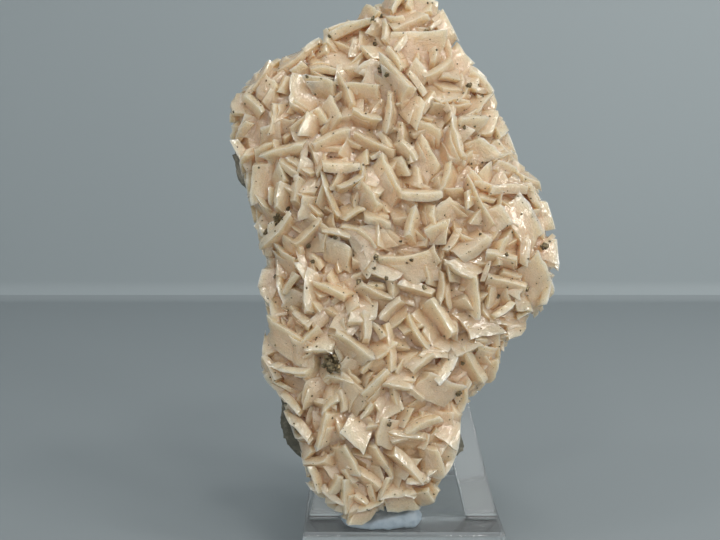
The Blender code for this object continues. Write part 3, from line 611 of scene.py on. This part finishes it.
class Druse:
    """Collects crystal shells, each with its own coordinates for the material, and joins them."""

    def __init__(self):
        self.shells = []

    def add(self, plate, lattice, half, shift, spin, rng, radius, shape):
        keys, quads, cells = lattice
        u, v, w = saddle(rounded_box(keys, cells, half, radius), half, shape)
        u, w = u * math.cos(spin) - w * math.sin(spin), u * math.sin(spin) + w * math.cos(spin)
        u, v, w = u + shift[0], v + shift[1], w + shift[2]
        along = u + plate.hand * (PLATE_SKEW * v + END_SLANT * w)
        deep = v + TOP_SLANT * w
        ways = np.array((plate.long_way, plate.deep_way, plate.thin_way))
        placed = np.array(plate.centre) + np.stack((along, deep, w), axis=1) @ ways
        # How high each point stands above its crystal's foot, which the dolomite turns into painted
        # shade down in the gaps.
        above = (placed - np.array(plate.foot)) @ np.array(plate.facing)
        offset = np.array([rng.uniform(-GRAIN_SPAN, GRAIN_SPAN) for _ in range(3)])
        local = np.stack((u, v, w), axis=1) + offset
        self.store(kept_inside(placed), quads, local, above / TOP_HEIGHT[1], rng.random())

    def store(self, points, quads, local, height, tone):
        marks = {"grain": local, "height": np.clip(height, 0.0, 1.0), "tone": np.full(len(points), tone)}
        self.shells.append((points, quads, marks))

    def add_large(self, plate, rng):
        """A plate, often with a thinner one or two grown against it, which make ledges."""
        half = plate.half_sizes()
        shape = draw_shape(rng, plate)
        self.add(plate, LARGE_LATTICE, half, (0, 0, 0), 0.0, rng, LARGE_ROUNDING, shape)
        for face in SIDES:
            if rng.random() < LEDGE_FREE:
                continue
            own = half * np.array([rng.uniform(*span) for span in LEDGE_SIZES])
            slide = rng.uniform(*SIDES) * (half[0] - own[0])
            drop = own[1] - half[1] - rng.uniform(*LEDGE_DROP)
            shift = (slide, drop, face * (half[2] - LEDGE_SINK * own[2]))
            spin = math.radians(rng.uniform(*LEDGE_SPIN))
            self.add(plate, SMALL_LATTICE, own, shift, spin, rng, SMALL_ROUNDING, shape)

    def add_small(self, plate, rng):
        shape = draw_shape(rng, plate, SMALL_CURVE)
        self.add(plate, SMALL_LATTICE, plate.half_sizes(), (0, 0, 0), 0.0, rng, SMALL_ROUNDING, shape)

    def shell_objects(self):
        """One object for each crystal, in a collection of their own."""
        group = bpy.data.collections.new("shells")
        for points, quads, marks in self.shells:
            made = mesh_object("shell", points, quads)
            corners = np.empty(len(made.data.loops), np.int32)
            made.data.loops.foreach_get("vertex_index", corners)
            for name, values in marks.items():
                write_layer(made.data, name, values[corners])
            group.objects.link(made)
        return group

    def to_object(self, name, surface):
        """Join all crystals into one skin with nothing left inside it."""
        group = self.shell_objects()
        parts = list(group.objects)
        base = parts.pop()
        group.objects.unlink(base)
        bpy.context.scene.collection.objects.link(base)
        step = base.modifiers.new("join", "BOOLEAN")
        step.operation = "UNION"
        step.operand_type = "COLLECTION"
        step.collection = group
        step.solver = "MANIFOLD"
        bake_modifiers(base)
        for thing in parts:
            shell = thing.data
            bpy.data.objects.remove(thing)
            bpy.data.meshes.remove(shell)
        bpy.data.collections.remove(group)
        base.name = name
        base.data.name = name
        base.data.materials.clear()
        base.data.materials.append(surface)
        base.data.shade_smooth()
        base.data.set_sharp_from_angle(angle=SHARP_ANGLE)
        return base


def write_layer(mesh, name, values):
    """Store a number or a vector for each corner of a mesh, for its material to read."""
    kind, slot = ("FLOAT_VECTOR", "vector") if values.ndim == 2 else ("FLOAT", "value")
    layer = mesh.attributes.new(name, kind, "CORNER")
    layer.data.foreach_set(slot, np.asarray(values, np.float32).ravel())


def mesh_object(name, points, faces):
    """An object that isn't linked yet. A face that names a corner twice becomes a triangle."""
    mesh = bpy.data.meshes.new(name)
    mesh.from_pydata(points.tolist(), [], [tuple(dict.fromkeys(face)) for face in faces.tolist()])
    return bpy.data.objects.new(name, mesh)


# Materials

class Surface:
    """A Principled material with short calls to add and join nodes."""

    def __init__(self, name):
        self.material = bpy.data.materials.new(name)
        self.material.use_nodes = True
        self.tree = self.material.node_tree
        self.shader = self.tree.nodes["Principled BSDF"]

    def node(self, kind, inputs=(), **settings):
        made = self.tree.nodes.new(kind)
        for key, value in settings.items():
            setattr(made, key, value)
        for key, value in dict(inputs).items():
            self.join(value, made.inputs[key])
        return made

    def join(self, value, socket):
        if isinstance(value, bpy.types.NodeSocket):
            self.tree.links.new(value, socket)
        else:
            socket.default_value = value

    def set(self, **values):
        for key, value in values.items():
            self.join(value, self.shader.inputs[key.replace("_", " ")])

    def attribute(self, name, output="Fac"):
        return self.node("ShaderNodeAttribute", attribute_name=name).outputs[output]

    def math(self, operation, first, second):
        return self.node("ShaderNodeMath", {0: first, 1: second}, operation=operation).outputs[0]

    def vector_math(self, operation, *vectors):
        inputs = dict(enumerate(vectors))
        return self.node("ShaderNodeVectorMath", inputs, operation=operation).outputs[0]

    def spread(self, value, low, high):
        """A value from 0 to 1 spread between two others."""
        settings = {"Value": value, "To Min": low, "To Max": high}
        return self.node("ShaderNodeMapRange", settings).outputs[0]

    def noise(self, vector, scale, detail, roughness):
        settings = {"Vector": vector, "Scale": scale, "Detail": detail, "Roughness": roughness}
        return self.node("ShaderNodeTexNoise", settings).outputs["Fac"]

    def stretch(self, vector, scale):
        return self.node("ShaderNodeMapping", {"Vector": vector, "Scale": scale}).outputs["Vector"]

    def ramp(self, factor, stops):
        made = self.node("ShaderNodeValToRGB", {"Fac": factor})
        while len(made.color_ramp.elements) < len(stops):
            made.color_ramp.elements.new(0.5)
        for element, (place, colour) in zip(made.color_ramp.elements, stops):
            element.position = place
            element.color = (*colour, 1.0)
        return made.outputs["Color"]

    def multiply(self, first, second):
        """Two colours multiplied: 6 and 7 are the mix node's colour inputs, 2 its colour output."""
        inputs = {"Factor": 1.0, 6: first, 7: second}
        made = self.node("ShaderNodeMix", inputs, data_type="RGBA", blend_type="MULTIPLY")
        return made.outputs[2]

    def bump(self, height, strength, distance, normal=None):
        inputs = {"Height": height, "Strength": strength, "Distance": distance}
        if normal is not None:
            inputs["Normal"] = normal
        return self.node("ShaderNodeBump", inputs).outputs["Normal"]

    def object_place(self):
        return self.node("ShaderNodeTexCoord").outputs["Object"]


# Each noise below is its scale, detail and roughness, and each bump its strength and its height
# in metres. The dolomite's noise is drawn in a crystal's own mm, the others in metres.

WHITE = (1.0, 1.0, 1.0)
# Painted shade: the colour runs from darker and warmer down in the gaps, where shade falls and scattered
# light glows, to paler at the tips.
DOLOMITE_COLOURS_WITH_GAP_SHADE = (  # from down in the gaps to the tips
    (0.0, (0.82, 0.56, 0.32)),
    (0.38, (0.865, 0.63, 0.395)),
    (0.72, (0.875, 0.685, 0.46)),
    (1.0, (0.88, 0.72, 0.515)),
)
DOLOMITE_CLOUDS = (0.55, 4.0, 0.6)
CLOUD_SWAY = 0.5  # how far the clouds shift the colour up or down
CRYSTAL_TONES = ((0.0, (0.84, 0.85, 0.86)), (1.0, WHITE))
DOLOMITE_MOTTLE = (3.2, 3.0, 0.6)
MOTTLE_TONES = ((0.3, (0.82, 0.81, 0.80)), (0.62, WHITE))
GROWTH_LINES = (1.0, 3.0, 0.55)
GROWTH_STRETCH = (0.9, 2.2, 2.6)
BLOCK_STRETCH = (0.55, 0.8, 0.7)
BLOCK_MIDDLE = (0.5, 0.5, 0.5)
BLOCK_TURN = (0.30, 0.30, 0.30)  # how far the blocks that make up a crystal face are turned
COAT_LINE_BUMP = (1.0, 0.00006)
COAT_MOTTLE_BUMP = (1.0, 0.00002)
LINE_BUMP = (0.8, 0.00028)
MOTTLE_BUMP = (0.8, 0.0002)
DOLOMITE_ROUGHNESS = (0.30, 0.52)
SCATTER_DEPTH = 0.005
SCATTER_REACH = (1.0, 0.87, 0.70)  # red light goes deepest


def dolomite_surface():
    """Milky, pearly and a little see-through, with painted shade: darker and warmer down in the gaps,
    paler at the tips.
    """
    s = Surface("dolomite")
    grain = s.attribute("grain", "Vector")
    height = s.attribute("height")
    tone = s.attribute("tone")
    cloud = s.noise(grain, *DOLOMITE_CLOUDS)
    sway = s.math("MULTIPLY", s.math("SUBTRACT", cloud, 0.5), CLOUD_SWAY)
    # The height above each crystal's foot picks the colour: painted shade, darker and warmer the deeper
    # a place lies.
    colour = s.ramp(s.math("ADD", height, sway), DOLOMITE_COLOURS_WITH_GAP_SHADE)
    colour = s.multiply(colour, s.ramp(tone, CRYSTAL_TONES))
    mottle = s.noise(grain, *DOLOMITE_MOTTLE)
    s.set(Base_Color=s.multiply(colour, s.ramp(mottle, MOTTLE_TONES)))

    lines = s.noise(s.stretch(grain, GROWTH_STRETCH), *GROWTH_LINES)
    blocks = s.node("ShaderNodeTexVoronoi", {"Vector": s.stretch(grain, BLOCK_STRETCH), "Scale": 1.0},
                    feature="F1", distance="CHEBYCHEV").outputs["Color"]
    facing = s.node("ShaderNodeNewGeometry").outputs["Normal"]
    turned = s.vector_math("SUBTRACT", blocks, BLOCK_MIDDLE)
    turned = s.vector_math("MULTIPLY_ADD", turned, BLOCK_TURN, facing)
    turned = s.vector_math("NORMALIZE", turned)
    s.set(Coat_Normal=s.bump(mottle, *COAT_MOTTLE_BUMP, s.bump(lines, *COAT_LINE_BUMP, turned)))
    s.set(Normal=s.bump(mottle, *MOTTLE_BUMP, s.bump(lines, *LINE_BUMP, turned)))
    s.set(Roughness=s.spread(lines, *DOLOMITE_ROUGHNESS))
    s.set(IOR=1.6)
    s.set(Subsurface_Weight=1.0, Subsurface_Scale=SCATTER_DEPTH, Subsurface_Radius=SCATTER_REACH)
    s.set(Coat_Weight=1.0, Coat_Roughness=0.07, Coat_IOR=1.85)
    return s.material


SULPHIDE_COLOURS = (
    (0.3, (0.06, 0.048, 0.03)),
    (0.5, (0.17, 0.135, 0.08)),
    (0.72, (0.38, 0.30, 0.16)),
)
SULPHIDE_MOTTLE = (1500.0, 4.0, 0.6)
SULPHIDE_ROUGHNESS = (0.55, 0.3)
SULPHIDE_PITS = (4000.0, 3.0, 0.5)
SULPHIDE_BUMP = (0.4, 0.0001)


def sulphide_surface():
    """Tarnished, dark brassy grains."""
    s = Surface("sulphide")
    place = s.object_place()
    mottle = s.noise(place, *SULPHIDE_MOTTLE)
    s.set(Base_Color=s.ramp(mottle, SULPHIDE_COLOURS))
    s.set(Metallic=0.75)
    s.set(Roughness=s.spread(mottle, *SULPHIDE_ROUGHNESS))
    s.set(Normal=s.bump(s.noise(place, *SULPHIDE_PITS), *SULPHIDE_BUMP))
    return s.material


ROCK_COLOURS = (
    (0.30, (0.055, 0.056, 0.044)),
    (0.48, (0.125, 0.122, 0.092)),
    (0.58, (0.24, 0.225, 0.175)),
    (0.70, (0.44, 0.40, 0.32)),
)
ROCK_PATCHES = (90.0, 5.0, 0.6)
ROCK_GRIT = (900.0, 4.0, 0.7)
ROCK_MIX = (0.6, 0.4)  # shares of the patches and the grit in its colour
ROCK_ROUGHNESS = (0.95, 0.6)
PATCH_BUMP = (0.5, 0.002)
GRIT_BUMP = (0.7, 0.0004)


def rock_surface():
    """Dark grey-green rock, broken and gritty."""
    s = Surface("rock")
    place = s.object_place()
    patches = s.noise(place, *ROCK_PATCHES)
    grit = s.noise(place, *ROCK_GRIT)
    shares = [s.math("MULTIPLY", value, share) for value, share in zip((patches, grit), ROCK_MIX)]
    s.set(Base_Color=s.ramp(s.math("ADD", *shares), ROCK_COLOURS))
    s.set(Roughness=s.spread(grit, *ROCK_ROUGHNESS))
    s.set(Normal=s.bump(grit, *GRIT_BUMP, s.bump(patches, *PATCH_BUMP)))
    return s.material


ACRYLIC_COLOUR = (0.95, 0.96, 0.955, 1.0)
ACRYLIC_ROUGHNESS = (0.03, 0.14)
SMEAR_STRETCH = (60.0, 60.0, 18.0)
SMEARS = (1.0, 4.0, 0.6)
SMEAR_BUMP = (0.06, 0.0005)


def acrylic_surface():
    """Clear acrylic with faint smears, and a small pale share that is painted light: it lifts the dark
    seen through the stand.
    """
    s = Surface("clear_acrylic")
    smear = s.noise(s.stretch(s.object_place(), SMEAR_STRETCH), *SMEARS)
    s.set(Roughness=s.spread(smear, *ACRYLIC_ROUGHNESS))
    # The share that is not see-through is pale and diffuse: painted light that brightens the stand where
    # light passing through it would fall.
    s.set(Base_Color=ACRYLIC_COLOUR, Transmission_Weight=0.93, IOR=1.49)
    s.set(Normal=s.bump(smear, *SMEAR_BUMP))
    return s.material


PUTTY_COLOURS = ((0.3, (0.31, 0.385, 0.45)), (0.7, (0.50, 0.57, 0.615)))
PUTTY_MOTTLE = (260.0, 4.0, 0.6)
PUTTY_BUMP = (0.4, 0.0008)
PUTTY_PORES = (1500.0, 3.0, 0.5)
PORE_BUMP = (0.2, 0.0002)


def putty_surface():
    """Pale blue putty, kneaded and a little greasy."""
    s = Surface("putty")
    place = s.object_place()
    mottle = s.noise(place, *PUTTY_MOTTLE)
    s.set(Base_Color=s.ramp(mottle, PUTTY_COLOURS))
    s.set(Roughness=0.55)
    kneaded = s.bump(mottle, *PUTTY_BUMP)
    s.set(Normal=s.bump(s.noise(place, *PUTTY_PORES), *PORE_BUMP, kneaded))
    return s.material


PAINT_CLOUDS = (4.0, 2.0, 0.5)
PAINT_DARKER = 0.97
PAINT_STOPS = (0.3, 0.7)


def plain_surface(name, colour):
    """A painted stage surface with the faintest unevenness."""
    s = Surface(name)
    cloud = s.noise(s.object_place(), *PAINT_CLOUDS)
    darker = tuple(PAINT_DARKER * value for value in colour)
    s.set(Base_Color=s.ramp(cloud, tuple(zip(PAINT_STOPS, (darker, colour)))))
    s.set(Roughness=0.7)
    return s.material


# Pieces

def piece(thing, slot_name, *nodes):
    """Put a finished piece on the model's one body, in place of the plain solids it stands for."""
    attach(thing, "root")
    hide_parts(*nodes)


def build_druse(surface):
    """All crystals and the bed they grow from, in specimen coordinates."""
    druse = Druse()
    rng = random.Random(SHELL_SEED)
    for plate in large_plates():
        druse.add_large(plate, rng)
    for plate in small_plates() + rim_plates():
        druse.add_small(plate, rng)
    add_bed(druse)
    return druse.to_object("crystals", surface)


def add_bed(druse):
    """The rough base that the crystals grow from, a closed dome."""
    points = [(*SLAB_MIDDLE, crust_depth(SLAB_MIDDLE))]
    for ring in range(1, BED_RINGS + 1):
        share = (ring / BED_RINGS) ** BED_EVENING
        for spoke in range(BED_SPOKES):
            angle = math.tau * spoke / BED_SPOKES
            way = Vector((math.cos(angle), math.sin(angle)))
            place = SLAB_MIDDLE + share * (outline_radius(angle) - BED_INSET) * way
            depth = crust_depth(SLAB_MIDDLE + share * base_radius(angle) * way)
            spot = Vector((place.x * BED_PITCH, place.y * BED_PITCH, BED_SLICE))
            rough = BED_ROUGHNESS * noise.fractal(spot, *BED_NOISE)
            place += share * rough * way
            points.append((place.x, place.y, depth + BED_RAISE + rough))
    for spoke in range(BED_SPOKES):
        edge = Vector(points[-BED_SPOKES])
        points.append((edge.x, edge.y, BACK_PLANE))
    points.append((*SLAB_MIDDLE, BACK_PLANE))
    points = np.array(points)
    # The bed has no height, so it takes the darkest, warmest colour of the painted shade in the gaps.
    druse.store(points, dome_faces(len(points)), points, np.zeros(len(points)), BED_TONE)


def dome_faces(count):
    """Quads of the bed, ring by ring. Those at its top and its back name a corner twice."""
    quads = []
    for spoke in range(BED_SPOKES):
        after = (spoke + 1) % BED_SPOKES
        quads.append((0, 1 + spoke, 1 + after, 1 + after))
        for ring in range(BED_RINGS):
            near_ring = 1 + ring * BED_SPOKES
            far_ring = near_ring + BED_SPOKES
            quads.append((near_ring + spoke, far_ring + spoke, far_ring + after, near_ring + after))
        last = 1 + BED_RINGS * BED_SPOKES
        quads.append((last + spoke, count - 1, last + after, last + after))
    return np.array(quads)


def any_direction(rng):
    """A direction drawn evenly from all round."""
    high = rng.uniform(*SIDES)
    angle = rng.uniform(0.0, math.tau)
    flat = math.sqrt(1.0 - high * high)
    return Vector((flat * math.cos(angle), flat * math.sin(angle), high))


def add_grain(bm, middle, size, rng):
    """One small sulphide crystal: a cube with its corners cut and pushed about."""
    turn = Matrix.Rotation(rng.uniform(0.0, math.tau), 4, any_direction(rng))
    shape = Matrix.Diagonal((*[rng.uniform(*span) for span in GRAIN_SHAPE], 1.0))
    made = bmesh.ops.create_cube(bm, size=size, matrix=Matrix.Translation(middle) @ turn @ shape)
    edges = {edge for vert in made["verts"] for edge in vert.link_edges}
    cut = bmesh.ops.bevel(bm, geom=list(edges), offset=GRAIN_CUT * size, segments=1, affect="EDGES")
    for vert in cut["verts"]:
        vert.co += any_direction(rng) * GRAIN_PUSH * size


def build_lump(name, across, up, size, lift, surface, index):
    """A cluster of sulphide crystals in the room of its CAD lump."""
    rng = random.Random(LUMP_SEED + index)
    foot, facing = seat(across, up)
    middle = foot + facing * (lift + LUMP_RAISE * size)
    bm = bmesh.new()
    for _ in range(round(LUMP_GRAINS * size)):
        shift = any_direction(rng) * LUMP_REACH * size * rng.random() ** LUMP_EVENING
        add_grain(bm, middle + shift, rng.uniform(*LUMP_GRAIN_SIZE) * size, rng)
    bm.transform(specimen_placing())
    return bmesh_object(name.replace("sulphide", "cluster"), bm, surface)


def bmesh_object(name, bm, surface):
    mesh = bpy.data.meshes.new(name)
    bm.to_mesh(mesh)
    bm.free()
    mesh.materials.append(surface)
    made = bpy.data.objects.new(name, mesh)
    bpy.context.scene.collection.objects.link(made)
    return made


def build_dust(crystals, surface):
    """Sulphide grains scattered over the crystals, each one half sunk in the face under it."""
    rng = random.Random(DUST_SEED)
    small, large = DUST_SIZE
    places = list(GRAINS)
    while len(places) < len(GRAINS) + DUST_COUNT:
        place = random_place(rng, SCATTER_AREA)
        if inside(place, DUST_RIM):
            places.append((place.x, place.y, small + rng.random() ** DUST_FINENESS * (large - small)))
    down = Vector((0.0, 0.0, -1.0))
    bm = bmesh.new()
    for across, up, size in places:
        landed, hit, _, _ = crystals.ray_cast(Vector((across, up, DROP_HEIGHT)), down)
        if not landed:
            continue
        add_grain(bm, hit, size, rng)
        if size > TWIN_FROM:
            for _ in range(TWIN_COUNT):
                beside = hit + any_direction(rng) * TWIN_REACH * size
                add_grain(bm, beside, size * rng.uniform(*TWIN_SIZE), rng)
    bm.transform(specimen_placing())
    return bmesh_object("sulphide_grains", bm, surface)


def copy_node(node, name, surface):
    """A new piece from a node's mesh, its doubled corners joined and its flat faces whole again."""
    bm = bmesh.new()
    bm.from_mesh(frame["nodes"][node].data)
    bmesh.ops.remove_doubles(bm, verts=bm.verts[:], dist=WELD_DISTANCE)
    bmesh.ops.dissolve_limit(bm, angle_limit=FLAT_ANGLE, verts=bm.verts[:], edges=bm.edges[:])
    return bmesh_object(name, bm, surface)


def bake_modifiers(thing):
    """Give an object the mesh that its modifiers make of it."""
    graph = bpy.context.evaluated_depsgraph_get()
    baked = bpy.data.meshes.new_from_object(thing.evaluated_get(graph))
    thing.modifiers.clear()
    thing.data = baked


def roughen(thing, voxel, layers):
    """Remesh finely, then push the skin in and out by layers of noise: size and height in metres."""
    step = thing.modifiers.new("remesh", "REMESH")
    step.mode = "VOXEL"
    step.voxel_size = voxel
    bake_modifiers(thing)
    mesh = thing.data
    moves = []
    for vert in mesh.vertices:
        rise = 0.0
        for size, height in layers:
            rise += height * noise.fractal(vert.co / size, *ROUGH_NOISE)
        moves.append(vert.normal * rise)
    for vert, move in zip(mesh.vertices, moves):
        vert.co += move
    mesh.shade_smooth()
    return thing


def push_out(thing, pushes):
    """Draw the rock's edge outwards near some places, so that it shows beside the crystals."""
    placing = specimen_placing()
    to_specimen = placing.inverted()
    for vert in thing.data.vertices:
        own = to_specimen @ vert.co
        move = Vector()
        for across, up, reach, push_across, push_up in pushes:
            away = Vector((own.x - across, own.y - up)).length / reach
            move += math.exp(-away * away) * Vector((push_across, push_up, 0.0))
        vert.co = placing @ (own + move)


def build_rock(surface):
    rock = copy_node("rock_matrix", "broken_rock", surface)
    roughen(rock, ROCK_VOXEL, ROCK_LAYERS)
    push_out(rock, ROCK_PUSHES)
    rock.data.set_sharp_from_angle(angle=ROCK_SHARP_ANGLE)
    return rock


def build_putty(surface):
    return roughen(copy_node("putty", "putty_pad", surface), PUTTY_VOXEL, PUTTY_LAYERS)


def build_stand_piece(node, name, surface):
    """The base or a post of the clear stand, with rounded edges."""
    made = copy_node(node, name, surface)
    edge = made.modifiers.new("bevel", "BEVEL")
    edge.width = STAND_EDGE
    edge.segments = STAND_EDGE_STEPS
    edge.limit_method = "ANGLE"
    bake_modifiers(made)
    made.data.shade_smooth()
    made.data.set_sharp_from_angle(angle=STAND_SHARP_ANGLE)
    return made


# Stage, light and camera

def build_stage():
    """A floor that curves up into the backdrop."""
    profile = [(-STAGE_REACH, FLOOR_DROP), (FLOOR_BACK - COVE, FLOOR_DROP)]
    for step in range(1, COVE_STEPS):
        angle = 0.5 * math.pi * step / COVE_STEPS
        back = FLOOR_BACK - COVE * (1.0 - math.sin(angle))
        rise = FLOOR_DROP + COVE * (1.0 - math.cos(angle))
        profile.append((back, rise))
    middle = COVE_STEPS // 2 + 1
    profile += [(FLOOR_BACK, FLOOR_DROP + COVE), (FLOOR_BACK, STAGE_REACH)]
    floor = build_sheet("floor", profile[:middle + 1], FLOOR_COLOUR)
    wall = build_sheet("backdrop", profile[middle:], WALL_COLOUR)


def build_sheet(name, profile, colour):
    """A wide sheet from its side profile of places and heights."""
    bm = bmesh.new()
    rows = [[bm.verts.new((side * STAGE_REACH, y, z)) for side in (-1, 1)] for y, z in profile]
    for near_row, far_row in zip(rows, rows[1:]):
        bm.faces.new((near_row[0], near_row[1], far_row[1], far_row[0]))
    made = bmesh_object(name, bm, plain_surface(name + "_paint", colour))
    made.data.shade_smooth()
    return made


def area_light(name, place, aim, size, power):
    """A square lamp, a little warm, turned towards a point."""
    data = bpy.data.lights.new(name, "AREA")
    data.shape = "SQUARE"
    data.size = size
    data.energy = power
    data.color = LAMP_COLOUR
    lamp = bpy.data.objects.new(name, data)
    lamp.location = place
    lamp.rotation_mode = "QUATERNION"
    lamp.rotation_quaternion = (aim - place).to_track_quat("-Z", "Y")
    bpy.context.scene.collection.objects.link(lamp)


def build_light():
    """Soft light from all round, small lamps for the glints, and one each for wall and front."""
    world = bpy.data.worlds.new("studio")
    world.use_nodes = True
    sky = world.node_tree.nodes["Background"]
    sky.inputs["Color"].default_value = SKY_COLOUR
    sky.inputs["Strength"].default_value = SKY_STRENGTH
    bpy.context.scene.world = world
    for index, place in enumerate(LAMP_PLACES):
        strength = 1.0 + LAMP_BIAS * place[0]
        size = LAMP_SIZE * math.sqrt(strength)
        area_light(f"lamp_{index}", Vector(place), LAMP_AIM, size, LAMP_POWER * strength)
    for row in OTHER_LAMPS:
        area_light(*row)
    bpy.context.scene.view_settings.view_transform = "Standard"


def build_camera():
    back = Vector((0.0, -math.cos(CAMERA_RISE), math.sin(CAMERA_RISE)))
    data = bpy.data.cameras.new("camera")
    data.lens = CAMERA_LENS
    data.clip_start = CAMERA_NEAREST
    camera = bpy.data.objects.new("camera", data)
    camera.location = CAMERA_AIM + back * CAMERA_DISTANCE
    camera.rotation_mode = "QUATERNION"
    camera.rotation_quaternion = (-back).to_track_quat("-Z", "Y")
    bpy.context.scene.collection.objects.link(camera)
    bpy.context.scene.camera = camera


def main():
    dolomite = dolomite_surface()
    sulphide = sulphide_surface()
    acrylic = acrylic_surface()

    crystals = build_druse(dolomite)
    piece(build_dust(crystals, sulphide), "sulphide", "dolomite_crust")
    crystals.data.transform(specimen_placing())
    piece(crystals, "dolomite", "dolomite_crust")
    for index, (name, across, up, size, lift) in enumerate(SULPHIDES):
        piece(build_lump(name, across, up, size, lift, sulphide, index), "sulphide", name)
    piece(build_rock(rock_surface()), "rock", "rock_matrix")
    piece(build_putty(putty_surface()), "putty", "putty")
    for node, name in STAND_PIECES:
        piece(build_stand_piece(node, name, acrylic), "clear_acrylic", node)

    build_stage()
    build_light()
    build_camera()


main()
